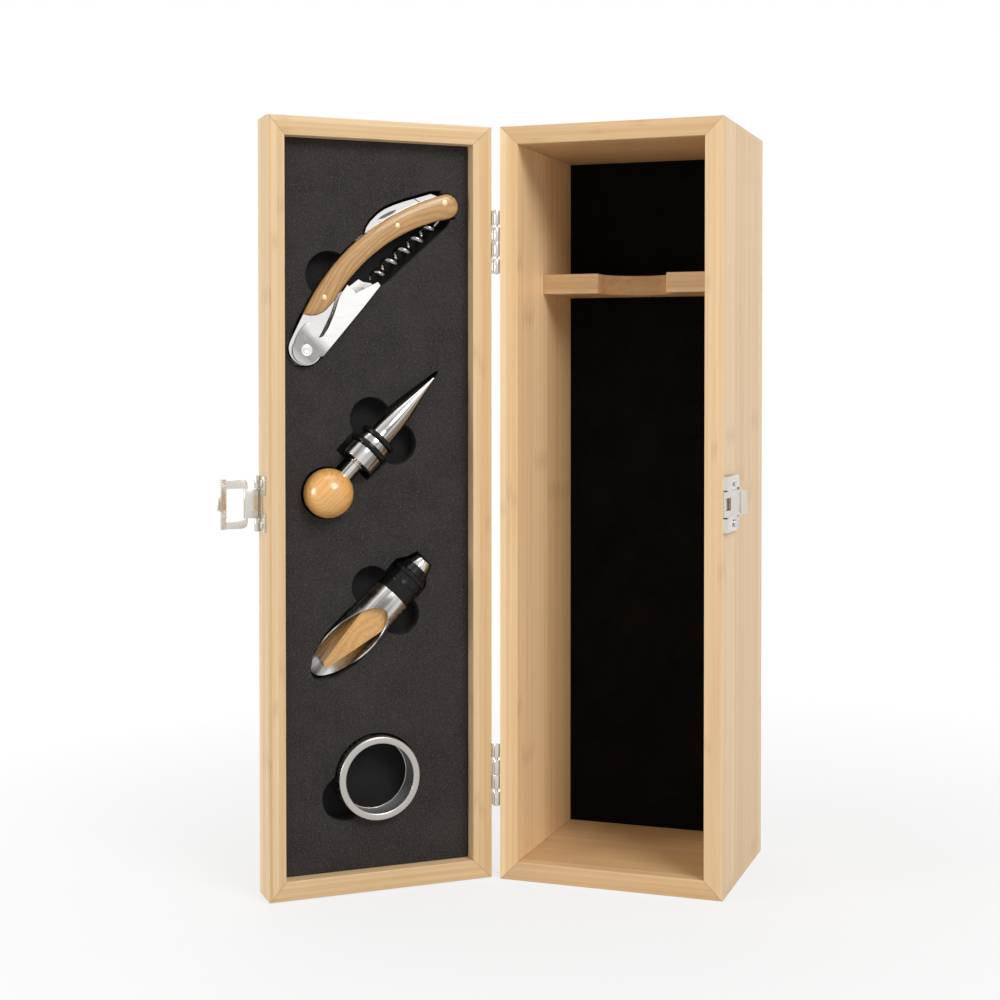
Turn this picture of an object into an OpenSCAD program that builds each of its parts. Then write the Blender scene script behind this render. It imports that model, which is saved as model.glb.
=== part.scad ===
// Wooden gift box for one bottle, with a hinged door that carries a foam tray of wine tools.
// Origin: centre of the underside of the box body. +X right, +Y to the back, +Z up.
// The door stands open, the latch hangs open and the tools lie in the tray.

/* [Box] */
// Width of the box across its front
box_w = 107; // [105:1:130]
// Depth of the box body, without the door
box_d = 88; // [84:1:120]
// Height of the box
box_h = 355; // [345:1:400]
// Thickness of the mitred walls
wall_t = 8.7; // [7:0.1:11]
// Thickness of the back panel
back_t = 5; // [3:0.5:8]
// Thickness of the black lining board on the back panel
liner_t = 1.2; // [0.8:0.1:2.5]

/* [Neck shelf] */
// Height of the shelf's underside above the floor
shelf_z = 278; // [262:1:290]
// Thickness of the shelf
shelf_t = 9.6; // [7:0.1:12]
// Depth of the shelf from the lining forwards
shelf_depth = 43.8; // [42:0.2:60]
// Width of the notch for the bottle's neck
notch_w = 34; // [31:0.5:38]
// Diameter of the bottle that the box holds
bottle_d = 72; // [68:1:76]

/* [Door] */
// Thickness of the door
door_t = 19; // [18:0.1:22]
// Width of the upright on the hinge side
hinge_stile_w = 9.2; // [8:0.1:10]
// Width of the upright on the latch side
latch_stile_w = 7.6; // [7:0.1:8.4]
// Width of the two rails
rail_w = 8.8; // [7:0.1:11]
// Thickness of the door's outer panel
door_panel_t = 2.6; // [2:0.1:3.2]
// Clearance between the closed door and the box
door_gap = 0.3; // [0.2:0.05:0.6]
// Clearance under the door
door_lift = 0.4; // [0.3:0.05:1]
// Angle that the door stands open
open_angle = 138.6; // [95:0.1:175]

/* [Foam tray] */
// Thickness of the black backing sheet
backing_t = 0.8; // [0.5:0.1:1.2]
// Depth of the foam's face below the door's inner face
foam_recess = 7; // [6:0.1:8]
// Clearance of each tool in its pocket
pocket_gap = 0.6; // [0.4:0.05:0.9]
// Radius of the finger scoops beside the stopper and the pourer
scoop_r = 10; // [8:0.5:11]

/* [Hinges] */
// Height of each hinge
hinge_h = 29.6; // [26:0.2:34]
// Height of the lower hinge's middle above the floor
low_hinge_z = 49.5; // [40:0.5:70]
// Distance of the upper hinge's middle from the top
top_hinge_drop = 54; // [40:0.5:70]
// Width of a hinge leaf
leaf_w = 9; // [7.6:0.2:11]
// Thickness of a hinge leaf
leaf_t = 0.8; // [0.6:0.05:1]
// Radius of the hinge knuckles
knuckle_r = 1.55; // [1.4:0.05:1.65]
// Radius of the hinge pins
hinge_pin_r = 0.75; // [0.6:0.05:0.9]
// Visible stretch of pin between two knuckles
knuckle_gap = 1.3; // [0.6:0.1:1.6]

/* [Latch] */
// Height of the latch's base and of the keeper
latch_h = 25.4; // [24.6:0.2:28]
// Thickness of the sheet metal
sheet_t = 0.8; // [0.6:0.05:0.9]
// Distance between the link's two pivots
link_len = 4.95; // [4.8:0.05:5.4]
// Length of the flap from its pivot to its far edge
flap_len = 11.9; // [11.6:0.1:12.2]
// Depth of the keeper from the box's front edge
keeper_len = 25; // [23.5:0.5:30]
// Height that the keeper's ears stand proud of the box
keeper_rise = 2.1; // [1.7:0.05:2.2]

/* [Corkscrew] */
// Thickness of the handle over both scales
cork_t = 12; // [11.4:0.1:12.6]
// Thickness of each wooden scale
scale_t = 3; // [2.6:0.1:3.2]
// Radius of the worm, to the middle of its wire
worm_r = 2.6; // [2.2:0.1:2.7]
// Radius of the worm's wire
wire_r = 1.15; // [0.9:0.05:1.2]
// Number of turns of the worm
worm_turns = 5; // [4:0.5:6]

/* [Bottle stopper] */
// Radius of the wooden ball
ball_r = 11.45; // [10.5:0.05:12]
// Radius of the steel collar
collar_r = 8.5; // [8.2:0.1:9]

/* [Pourer] */
// Radius of the steel spout where it opens
spout_r = 10; // [9.6:0.1:10.4]
// Thickness of the spout's wall
spout_t = 0.6; // [0.4:0.05:0.8]

/* [Drip ring] */
// Outer radius of the steel ring
ring_r = 19.5; // [18.5:0.1:20.5]
// Height of the ring
ring_h = 13.5; // [11:0.5:15]
// Width of the ring's rolled rim
rim_w = 3.3; // [2.8:0.1:3.8]

/* [Hidden] */

$fn = 64;
eps = 0.01;
run_gap = 0.05;                       // radial clearance of every pin in its bore
rest_gap = 0.3;                       // clearance under a tool that lies on the backing

bamboo = [0.87, 0.74, 0.54];
bamboo_edge = [0.80, 0.65, 0.44];
foam_grey = [0.22, 0.21, 0.21];
steel = [0.75, 0.75, 0.76];
beech = [0.80, 0.60, 0.36];
black = [0.06, 0.06, 0.06];

front_y = -box_d / 2;
left_x = -box_w / 2;
right_x = box_w / 2;
liner_y = box_d / 2 - back_t - liner_t;
mid_z = box_h / 2;

pin_out = 2.1;                        // pin axis, outside the left wall at the door joint
pin_back = 0.75;
hinge_x = left_x - pin_out;
hinge_y = front_y + pin_back;
hinge_heights = [low_hinge_z, box_h - top_hinge_drop];
leaf_start = 1.45;                    // from the pin axis to the flat part of a leaf

screw_r = 0.9;
screw_len = 6;
screw_head_r = 1.8;
screw_head_h = 0.5;
leaf_screw_y = leaf_w * 0.62;
leaf_screw_z = hinge_h * 0.3;

foam_z = door_panel_t + backing_t;    // underside of the foam, above the door's outer face
foam_top = door_t - foam_recess;
tray_x = box_w / 2;                   // the tray's own frame starts at the latch edge

// ---------------------------------------------------------------- frames

// Turns the door and all that it carries about the hinge pins to where it stands.
module opened() {
    translate([hinge_x, hinge_y, 0])
        rotate([0, 0, -open_angle])
        translate([-hinge_x, -hinge_y, 0])
        children();
}

// Frame of the tray: x from the latch edge to the hinge edge, y up, z out of the door's inner side.
module on_door() {
    opened()
        translate([right_x, front_y - door_gap - door_t, 0])
        rotate([90, 0, 180])
        children();
}

// Frame of a side face: x outwards, y towards the back, z up, from the front right edge.
module on_right_side() {
    translate([right_x, front_y, 0])
        children();
}

// A screw that is driven along -Z, with the underside of its head at z = 0.
module wood_screw(len) {
    difference() {
        union() {
            cylinder(r = screw_head_r, h = screw_head_h);
            translate([0, 0, -len])
                cylinder(r = screw_r, h = len + eps);
        }
        for (turn = [0, 90])
            rotate([0, 0, turn])
            translate([-screw_head_r * 0.62, -0.2, screw_head_h * 0.4])
            cube([screw_head_r * 1.24, 0.4, screw_head_h]);
    }
}

module screw_bore(len) {
    translate([0, 0, -len - 0.3])
        cylinder(r = screw_r + run_gap, h = len + 3);
}

// ---------------------------------------------------------------- box

// One mitred board: an outline in X and Z, extruded through the depth of the body.
module board(outline, y0, depth) {
    translate([0, y0 + depth, 0])
        rotate([90, 0, 0])
        linear_extrude(depth)
        polygon(outline);
}

// Places of the screws in the box side of the two hinges.
module at_box_leaf_screws() {
    for (z = hinge_heights)
        for (dz = [-leaf_screw_z, leaf_screw_z])
            translate([left_x - leaf_t, hinge_y + leaf_screw_y, z + dz])
            rotate([0, -90, 0])
            children();
}

module box_left_side() {
    color(bamboo)
    difference() {
        board([[left_x, 0], [left_x + wall_t, wall_t], [left_x + wall_t, box_h - wall_t],
            [left_x, box_h]], front_y, box_d);
        at_box_leaf_screws()
            screw_bore(screw_len);
    }
}

module box_right_side() {
    color(bamboo)
    difference() {
        board([[right_x, 0], [right_x, box_h], [right_x - wall_t, box_h - wall_t],
            [right_x - wall_t, wall_t]], front_y, box_d);
        at_keeper_screws()
            screw_bore(screw_len);
    }
}

module box_top() {
    color(bamboo)
    board([[left_x, box_h], [left_x + wall_t, box_h - wall_t], [right_x - wall_t, box_h - wall_t],
        [right_x, box_h]], front_y, box_d);
}

module box_bottom() {
    color(bamboo)
    board([[left_x, 0], [right_x, 0], [right_x - wall_t, wall_t], [left_x + wall_t, wall_t]],
        front_y, box_d);
}

module back_panel() {
    color(bamboo_edge)
    translate([left_x + wall_t, box_d / 2 - back_t, wall_t])
        cube([box_w - 2 * wall_t, back_t, box_h - 2 * wall_t]);
}

module back_liner() {
    color(black)
    translate([left_x + wall_t, liner_y, wall_t])
        cube([box_w - 2 * wall_t, liner_t, box_h - 2 * wall_t]);
}

// Shelf with a round-ended notch, open to the front, on the axis of the bottle.
module neck_shelf() {
    notch_y = liner_y - bottle_d / 2;
    color(bamboo)
    difference() {
        translate([left_x + wall_t, liner_y - shelf_depth, shelf_z])
            cube([box_w - 2 * wall_t, shelf_depth, shelf_t]);
        translate([0, notch_y, shelf_z - 1])
            cylinder(d = notch_w, h = shelf_t + 2);
        translate([-notch_w / 2, notch_y - shelf_depth, shelf_z - 1])
            cube([notch_w, shelf_depth, shelf_t + 2]);
    }
}

// ---------------------------------------------------------------- hinges

middle_gap = 0.2;                     // clearance between the two middle knuckles
pin_end = 0.4;
knuckle_h = (hinge_h - 2 * knuckle_gap - middle_gap) / 4;
knuckle_z = [0, knuckle_h + knuckle_gap, 2 * knuckle_h + knuckle_gap + middle_gap,
    3 * knuckle_h + 2 * knuckle_gap + middle_gap];

// A leaf drawn on the box side: the door side is its mirror image, with the other knuckles.
module hinge_leaf(knuckles) {
    difference() {
        union() {
            translate([-leaf_t, leaf_start, 0])
                cube([leaf_t, leaf_w - leaf_start, hinge_h]);
            for (k = knuckles)
                translate([0, 0, knuckle_z[k]]) {
                    translate([-leaf_t, 0, 0])
                        cube([leaf_t - run_gap, leaf_start + eps, knuckle_h]);
                    translate([-pin_out, 0, 0])
                        cylinder(r = knuckle_r, h = knuckle_h);
                }
        }
        translate([-pin_out, 0, -1])
            cylinder(r = hinge_pin_r + run_gap, h = hinge_h + 2);
        for (dz = [-leaf_screw_z, leaf_screw_z])
            translate([-leaf_t, leaf_screw_y, hinge_h / 2 + dz])
            rotate([0, -90, 0])
            screw_bore(screw_len);
    }
}

module box_leaf(z) {
    color(steel)
    translate([left_x, hinge_y, z - hinge_h / 2])
        hinge_leaf([0, 2]);
}

module door_leaf(z) {
    color(steel)
    opened()
        translate([left_x, hinge_y, z - hinge_h / 2])
        mirror([0, 1, 0])
        hinge_leaf([1, 3]);
}

module hinge_pin(z) {
    color(steel)
    translate([hinge_x, hinge_y, z - hinge_h / 2 - pin_end])
        cylinder(r = hinge_pin_r, h = hinge_h + 2 * pin_end);
}

module hinge_box_screws() {
    color(steel)
    at_box_leaf_screws()
        wood_screw(screw_len);
}

module at_door_leaf_screws() {
    opened()
        for (z = hinge_heights)
            for (dz = [-leaf_screw_z, leaf_screw_z])
                translate([left_x - leaf_t, hinge_y - leaf_screw_y, z + dz])
                rotate([0, -90, 0])
                children();
}

module hinge_door_screws() {
    color(steel)
    at_door_leaf_screws()
        wood_screw(screw_len);
}

// ---------------------------------------------------------------- door

door_z0 = door_lift;
door_z1 = box_h;

// A mitred frame board, drawn in the tray's frame through the door's thickness.
module door_board(outline) {
    on_door()
        linear_extrude(door_t)
        polygon(outline);
}

module door_hinge_stile() {
    color(bamboo)
    difference() {
        door_board([[box_w, door_z0], [box_w, door_z1], [box_w - hinge_stile_w, door_z1 - rail_w],
            [box_w - hinge_stile_w, door_z0 + rail_w]]);
        at_door_leaf_screws()
            screw_bore(screw_len);
    }
}

module door_latch_stile() {
    color(bamboo)
    difference() {
        door_board([[0, door_z0], [latch_stile_w, door_z0 + rail_w],
            [latch_stile_w, door_z1 - rail_w], [0, door_z1]]);
        at_latch_base_screws()
            screw_bore(base_screw_len);
    }
}

module door_top_rail() {
    color(bamboo)
    door_board([[0, door_z1], [latch_stile_w, door_z1 - rail_w],
        [box_w - hinge_stile_w, door_z1 - rail_w], [box_w, door_z1]]);
}

module door_bottom_rail() {
    color(bamboo)
    door_board([[0, door_z0], [box_w, door_z0], [box_w - hinge_stile_w, door_z0 + rail_w],
        [latch_stile_w, door_z0 + rail_w]]);
}

// The opening inside the frame, as a layer of the door between two heights.
module door_layer(z0, z1) {
    on_door()
        translate([latch_stile_w, door_z0 + rail_w, z0])
        cube([box_w - latch_stile_w - hinge_stile_w, box_h - door_lift - 2 * rail_w, z1 - z0]);
}

module door_panel() {
    color(bamboo)
    door_layer(0, door_panel_t);
}

module foam_backing() {
    color(black)
    door_layer(door_panel_t, foam_z);
}

// ---------------------------------------------------------------- foam tray

foam_corner_r = 2.5;

// The foam's outline: the door's opening with small round corners.
module foam_outline() {
    x0 = latch_stile_w;
    x1 = box_w - hinge_stile_w;
    y0 = door_z0 + rail_w;
    y1 = door_z1 - rail_w;
    r = foam_corner_r;
    translate([x0 + r, y0])
        square([x1 - x0 - 2 * r, y1 - y0]);
    translate([x0, y0 + r])
        square([x1 - x0, y1 - y0 - 2 * r]);
    for (x = [x0 + r, x1 - r])
        for (y = [y0 + r, y1 - r])
            translate([x, y])
            circle(r, $fn = 32);
}

module foam_tray() {
    color(foam_grey)
    on_door()
        translate([0, 0, foam_z])
        linear_extrude(foam_top - foam_z)
        difference() {
            foam_outline();
            corkscrew_place()
                corkscrew_pocket();
            stopper_place()
                stopper_pocket();
            pourer_place()
                pourer_pocket();
            ring_place()
                ring_pocket();
        }
}

// ---------------------------------------------------------------- latch

latch_z = mid_z + 2.3;
pivot_out = 1.75;                     // latch pivot, out from the door's side face
pivot_in = door_t - 15.5;             // latch pivot, up from the door's outer face
curl_r = 1.2;
latch_pin_r = 0.5;
flap_pin_r = 0.6;
link_half = 6.6;
ear_gap = 0.3;                        // between the link and each ear's curl
ear_half = 4;                         // inner edge of the ears' plates
window_half = 6.95;
base_len = 10.6;
base_screw_len = 5;
ear_screw_z = latch_h * 0.37;
flap_out = pivot_out + link_len;      // the flap's pivot, out from the door's side face
flap_half = 11.4;
flap_t = 0.8;
flap_corner = 3;
window_len = flap_len - 2.6;
flange_angle = 30;
tab_angle = 45;
tab_len = 2.8;

// Frame of the latch: x out of the door's side face, y up from the latch's middle,
// z towards the box, from the door's outer face.
module on_latch() {
    on_door()
        translate([0, latch_z, 0])
        mirror([1, 0, 0])
        children();
}

module at_latch_base_screws() {
    on_latch()
        for (y = [-ear_screw_z, ear_screw_z])
            translate([sheet_t, y, pivot_in + base_len * 0.55])
            rotate([0, 90, 0])
            children();
}

// Bar along the latch's upright direction, with its axis at x, z.
module upright(x, z, r, y0, y1) {
    translate([x, y1, z])
        rotate([90, 0, 0])
        cylinder(r = r, h = y1 - y0, $fn = 48);
}

// Two screwed ears, each with a curl for the pin, joined by a strip behind the link.
module latch_base() {
    curl_in = link_half + ear_gap;
    plate_z = pivot_in + 1.7;
    plate_len = base_len - 1.7;
    color(steel)
    difference() {
        on_latch()
            difference() {
                union() {
                    for (side = [-1, 1]) {
                        plate_y = side > 0 ? ear_half : -latch_h / 2;
                        curl_y = side > 0 ? curl_in : -latch_h / 2;
                        curl_len = latch_h / 2 - curl_in;
                        translate([0, plate_y, plate_z])
                            cube([sheet_t, latch_h / 2 - ear_half, plate_len]);
                        translate([0, curl_y, pivot_in - curl_r])
                            cube([sheet_t, curl_len, plate_z - pivot_in + curl_r + eps]);
                        translate([0, curl_y, pivot_in - curl_r])
                            cube([pivot_out, curl_len, 0.6]);
                        upright(pivot_out, pivot_in, curl_r, curl_y, curl_y + curl_len);
                    }
                    translate([0, -ear_half - eps, plate_z])
                        cube([sheet_t, 2 * ear_half + 2 * eps, 2.5]);
                }
                upright(pivot_out, pivot_in, latch_pin_r + run_gap, -latch_h, latch_h);
            }
        at_latch_base_screws()
            screw_bore(base_screw_len);
    }
}

module latch_base_screws() {
    color(steel)
    at_latch_base_screws()
        wood_screw(base_screw_len);
}

module latch_pin() {
    color(steel)
    on_latch()
        upright(pivot_out, pivot_in, latch_pin_r, -latch_h / 2 - 0.2, latch_h / 2 + 0.2);
}

// Link with a curl on each end and a small notch beside the pin.
module latch_link() {
    color(steel)
    on_latch()
        difference() {
            union() {
                upright(pivot_out, pivot_in, curl_r, -link_half, link_half);
                upright(flap_out, pivot_in, curl_r, -link_half, link_half);
                translate([pivot_out, -link_half, pivot_in + curl_r - sheet_t])
                    cube([link_len, 2 * link_half, sheet_t]);
            }
            upright(pivot_out, pivot_in, latch_pin_r + run_gap, -latch_h, latch_h);
            upright(flap_out, pivot_in, flap_pin_r + run_gap, -latch_h, latch_h);
        }
}

// Flap outline: a frame round a window, with round corners at the pivot end.
module flap_outline() {
    difference() {
        union() {
            translate([flap_corner - flap_pin_r, -flap_half])
                square([window_len + flap_pin_r - flap_corner + 0.3, 2 * flap_half]);
            translate([-flap_pin_r, flap_corner - flap_half])
                square([flap_corner, 2 * (flap_half - flap_corner)]);
            for (side = [-1, 1])
                translate([flap_corner - flap_pin_r, side * (flap_half - flap_corner)])
                circle(flap_corner, $fn = 32);
        }
        translate([-flap_corner, -window_half])
            square([window_len + flap_corner, 2 * window_half]);
    }
}

// The far bar is bent in towards the keeper, and carries a tab that is bent further.
module latch_flap() {
    flange_len = (flap_len - window_len) / cos(flange_angle);
    color(steel)
    on_latch()
        translate([flap_out, 0, pivot_in]) {
            translate([0, 0, -flap_t / 2])
                linear_extrude(flap_t)
                flap_outline();
            upright(0, 0, flap_pin_r, flap_corner - flap_half, flap_half - flap_corner);
            translate([window_len, 0, 0])
                rotate([0, -flange_angle, 0]) {
                    translate([0, -flap_half, -flap_t / 2])
                        cube([flange_len, 2 * flap_half, flap_t]);
                    translate([flange_len, 0, 0])
                        rotate([0, flange_angle - tab_angle, 0])
                        translate([-0.2, 0, -flap_t / 2])
                        linear_extrude(flap_t)
                        polygon([[0, -3.3], [tab_len, -2.5], [tab_len, 2.5], [0, 3.3]]);
                }
        }
}

// ---------------------------------------------------------------- keeper

keeper_half = 5.8;
slot_start = 1.1;
slot_len = 6.1;
slot_half = 2.9;
ramp_start = 0.95;                    // height of the ramp's face at the box's front edge
ramp_end = 3.9;
ramp_len = keeper_len * 0.82;
lip_len = 2.8;
lip_angle = 60;
keeper_screw_y = keeper_len * 0.6;
corner_r = 2.4;                       // round corners of the sheet, away from the door
relief_w = 0.7;                       // slits beside the ramp's fold
relief_len = 2.6;

module at_keeper_screws() {
    on_right_side()
        for (dz = [-ear_screw_z, ear_screw_z])
            translate([keeper_rise, keeper_screw_y, latch_z + dz])
            rotate([0, 90, 0])
            children();
}

// Folded sheet with two screwed ears and a ramp between them that ends in a lip.
module keeper() {
    ramp_t = sheet_t;
    lip = [ramp_end + lip_len * sin(lip_angle), ramp_len + lip_len * cos(lip_angle)];
    lip_end = lip[1] + 1;
    color(steel)
    difference() {
        on_right_side() {
            for (side = [-1, 1])
                translate([0, 0, latch_z + (side > 0 ? keeper_half - eps : -latch_h / 2)]) {
                    translate([keeper_rise - sheet_t, 0, 0])
                        cube([sheet_t, keeper_len, latch_h / 2 - keeper_half + eps]);
                    for (y = [0, keeper_len - sheet_t])
                        translate([0, y, 0])
                            cube([keeper_rise, sheet_t, latch_h / 2 - keeper_half + eps]);
                }
            translate([0, 0, latch_z - keeper_half])
                linear_extrude(2 * keeper_half)
                polygon([[ramp_start - ramp_t, 0], [ramp_start, 0], [ramp_end, ramp_len], lip,
                    [lip[0] - ramp_t / 2, lip[1] + ramp_t * 0.8],
                    [ramp_end - ramp_t, ramp_len + ramp_t / 2]]);
        }
        at_keeper_screws()
            screw_bore(screw_len + keeper_rise);
        on_right_side() {
            translate([-1, slot_start, latch_z - slot_half])
                cube([6, slot_len, 2 * slot_half]);
            for (side = [-1, 1]) {
                keeper_corner(keeper_len, side * latch_h / 2, -side);
                keeper_corner(lip_end, side * keeper_half, -side);
                translate([-1, -1, latch_z + side * (keeper_half + relief_w / 2) - relief_w / 2])
                    cube([6, relief_len + 1, relief_w]);
            }
        }
    }
}

// Cutter for a far corner of the sheet, at a depth and a height; turn is +1 or -1.
module keeper_corner(y, z, turn) {
    translate([6, y, latch_z + z])
        rotate([0, -90, 0])
        linear_extrude(8)
        polygon(concat([[-turn, 1], [turn * corner_r, 1]],
            [for (a = [90 : -15 : 0])
                [turn * corner_r * (1 - cos(a)), corner_r * (sin(a) - 1)]],
            [[-turn, -corner_r]]));
}

module keeper_screws() {
    color(steel)
    at_keeper_screws()
        wood_screw(screw_len);
}

// ---------------------------------------------------------------- corkscrew

// Its own frame: origin on the lever's rivet, x along the handle to the far pin,
// y towards the handle's back, z up from the underside.
cork_angle = 46.2;
far_pin = [96, 0];
mid_rivet = [71.8, 8.8];
near_rivet = [23.2, 10.6];
back_top = [44.8, 17.7];                // highest point of the handle's back
back_arc_r = 105.5;
belly_top = [45.1, 8.1];                // highest point of the handle's belly
belly_arc_r = 83.6;
back_arc = back_top - [0, back_arc_r];
belly_arc = belly_top - [0, belly_arc_r];
tip_centre = [95.8, -2];
tip_r = 5.75;
tip_turn = atan((belly_arc[0] - tip_centre[0]) / (tip_centre[1] - belly_arc[1]));
scale_end = [20.6, 16.4];               // centre of a scale's round end at the bolster
scale_end_r = 10.5;
scale_meets_belly = 26;
bolster_centre = [0.6, 0.7];
bolster_r = 7.8;
liner_sheet = 0.8;
lever_sheet = 1.2;
rivet_r = 1.2;
far_pin_r = 1.4;
lever_pin_r = 1.5;
blade_t = 1;
eye_t = 2.3;
bolster_top = cork_t - lever_sheet - 0.1;
inner_low = scale_t + liner_sheet;
inner_high = cork_t - scale_t - liner_sheet;
blade_z = inner_high - blade_t - 0.1;
eye_z = blade_z - eye_t - 0.1;

module corkscrew_place() {
    translate([tray_x - 35, mid_z + 72.1])
        rotate(cork_angle)
        children();
}

module on_corkscrew() {
    on_door()
        translate([0, 0, foam_z + rest_gap])
        corkscrew_place()
        children();
}

// The handle's curved band, from a length along it to a square cut through the tip's centre.
module handle_band(x0) {
    intersection() {
        difference() {
            translate(back_arc)
                circle(back_arc_r, $fn = 360);
            translate(belly_arc)
                circle(belly_arc_r, $fn = 360);
        }
        translate([x0, -20])
            square([120, 45]);
        translate(tip_centre)
            rotate(tip_turn)
            translate([-150, -75])
            square([150, 150]);
    }
}

module handle_tip() {
    translate(tip_centre)
        circle(tip_r);
}

// Outline of a wooden scale: the band with a round end at the bolster.
module scale_outline() {
    intersection() {
        union() {
            handle_band(8);
            handle_tip();
        }
        union() {
            translate(scale_end)
                circle(scale_end_r);
            translate([scale_end[0], scale_end[1] - scale_end_r + 0.05])
                square([90, 40]);
            translate([scale_meets_belly, -15])
                square([90, 40]);
        }
    }
}

// Outline of the steel frame, from the round bolster to the far end.
module frame_outline() {
    handle_band(10);
    handle_tip();
    translate(bolster_centre)
        circle(bolster_r);
    polygon([[-1.9, 8.1], [1.9, 9.3], [6.5, 10.8], [10.4, 12], [26.6, 6.6], [23.3, 4.7],
        [19.3, 3], [15.1, 1.6], [10.7, 0.3], [7, -0.6]]);
}

module rivet_bores() {
    for (p = [mid_rivet, near_rivet])
        translate([p[0], p[1], -1])
        cylinder(r = rivet_r + run_gap, h = cork_t + 2);
    translate([far_pin[0], far_pin[1], -1])
        cylinder(r = far_pin_r + run_gap, h = cork_t + 2);
    translate([0, 0, -1])
        cylinder(r = lever_pin_r + run_gap, h = cork_t + 2);
}

// Two liners, two bolsters and the spring along the back, riveted into one frame.
module corkscrew_frame() {
    color(steel)
    on_corkscrew()
        difference() {
            union() {
                for (z = [scale_t, inner_high])
                    translate([0, 0, z])
                        linear_extrude(liner_sheet)
                        frame_outline();
                for (z = [lever_sheet + 0.1, cork_t - scale_t])
                    translate([0, 0, z])
                        linear_extrude(scale_t - lever_sheet - 0.1)
                        difference() {
                            frame_outline();
                            scale_outline();
                            translate([27, -15])
                                square([90, 40]);
                        }
                translate([0, 0, inner_low - eps])
                    linear_extrude(inner_high - inner_low + 2 * eps)
                    intersection() {
                        frame_outline();
                        union() {
                            translate(bolster_centre)
                                circle(bolster_r - 1.5);
                            translate([2, 6])
                                square([52, 20]);
                        }
                    }
            }
            rivet_bores();
        }
}

module wooden_scale(z) {
    color(beech)
    on_corkscrew()
        difference() {
            translate([0, 0, z])
                linear_extrude(scale_t)
                scale_outline();
            rivet_bores();
        }
}

module handle_rivets() {
    color("gold")
    on_corkscrew()
        for (p = [mid_rivet, near_rivet])
            translate([p[0], p[1], -0.1])
            cylinder(r = rivet_r, h = cork_t + 0.2);
}

// Rivet with a wide head at both ends, on which the lever turns.
module lever_rivet() {
    color(steel)
    on_corkscrew() {
        translate([0, 0, -0.25])
            cylinder(r = lever_pin_r, h = cork_t + 0.5);
        translate([0, 0, cork_t + run_gap])
            cylinder(r1 = 2.7, r2 = 2.1, h = 0.5);
        translate([0, 0, -0.25])
            cylinder(r = 2.4, h = 0.2);
    }
}

module worm_pin() {
    color("gold")
    on_corkscrew()
        translate([far_pin[0], far_pin[1], -0.1])
        cylinder(r = far_pin_r, h = cork_t + 0.2);
}

// Side of the lever: a round end on the rivet, a hook for caps and a bar with a stepped end.
module lever_side(end_points) {
    circle(6.4);
    difference() {
        polygon([[-3, 5], [-1.5, 6.2], [1.6, 7.6], [5, 8.4], [8.6, 8.5], [10.1, 7.7], [9.6, -3],
            [0, -3]]);
        translate(hook_centre)
            circle(hook_r, $fn = 48);
    }
    polygon(concat([[0, -2], [0, -6.3], [2.6, -6.6], [3.4, -7.5], [18.8, -6.5], [32.8, -5.6]],
        end_points, [[29.3, 6], [26, 4.6], [22.3, 2.7], [18.4, 1.1], [14.1, -0.4], [9, -1.3]]));
}

hook_centre = [10.7, 2.95];
hook_r = 4.1;
near_end = [[45.8, -4.5], [46.2, -2.5], [35, 1.4], [35, 6.9]];
far_end = [[45.8, -4.5], [46.2, -2.5], [43.8, 0.8], [43.2, 3.1], [35, 4.4]];

// Bent channel: two sides joined along the lower edge.
module corkscrew_lever() {
    color(steel)
    on_corkscrew()
        difference() {
            union() {
                linear_extrude(lever_sheet)
                    lever_side(far_end);
                translate([0, 0, cork_t - lever_sheet])
                    linear_extrude(lever_sheet)
                    lever_side(near_end);
                linear_extrude(cork_t)
                    polygon([[13, -6.85], [18.8, -6.5], [32.8, -5.6], [45.8, -4.5], [45.9, -3.5],
                        [32.8, -4.4], [18.8, -5.3], [13, -5.6]]);
            }
            translate([0, 0, -1])
                cylinder(r = lever_pin_r + run_gap, h = cork_t + 2);
        }
}

// Worm: a wire that leaves the eye as a straight shank and winds into a tapering screw.
worm_top = [86.5, -4.4];                // axis of the screw at its shank end
worm_tip = [45.4, 0.1];
worm_axis = worm_tip - worm_top;
worm_len = norm(worm_axis);
worm_dir = worm_axis / worm_len;
worm_side = [worm_dir[1], -worm_dir[0]];
worm_z = eye_z + eye_t / 2;
turn_steps = 12;
wire_sides = 8;
worm_steps = worm_turns * turn_steps;
taper_steps = 10;
lead_steps = 6;                       // steps over which the shank opens into the screw
worm_phase = 135;

// Share of the full size near the tip, so that the screw runs out in a point.
function taper(i) = min(1, (worm_steps - i + 0.6) / taper_steps);

function worm_point(i) =
    let (a = -worm_phase - 360 * i / turn_steps, d = worm_len * i / worm_steps,
        r = worm_r * min(1, (i + 1) / lead_steps) * (0.35 + 0.65 * taper(i)))
    [worm_top[0] + worm_dir[0] * d + worm_side[0] * r * cos(a),
     worm_top[1] + worm_dir[1] * d + worm_side[1] * r * cos(a),
     worm_z + r * sin(a)];

function unit(v) = v / norm(v);

worm_path = concat([[far_pin[0] - 2.2, far_pin[1] - 0.2, worm_z],
    [far_pin[0] - 7, worm_point(0)[1] + 0.1, worm_z]],
    [for (i = [0 : worm_steps]) worm_point(i)]);
worm_last = len(worm_path) - 1;

function path_dir(i) = unit(worm_path[min(i + 1, worm_last)] - worm_path[max(i - 1, 0)]);

function wire_ring(i) =
    let (d = path_dir(i), s = unit(cross(d, [0.12, 0.05, 1])), t = cross(s, d),
        r = wire_r * (i > 1 ? taper(i - 2) : 1))
    [for (k = [0 : wire_sides - 1])
        worm_path[i] + r * (s * cos(360 * k / wire_sides) + t * sin(360 * k / wire_sides))];

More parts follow.
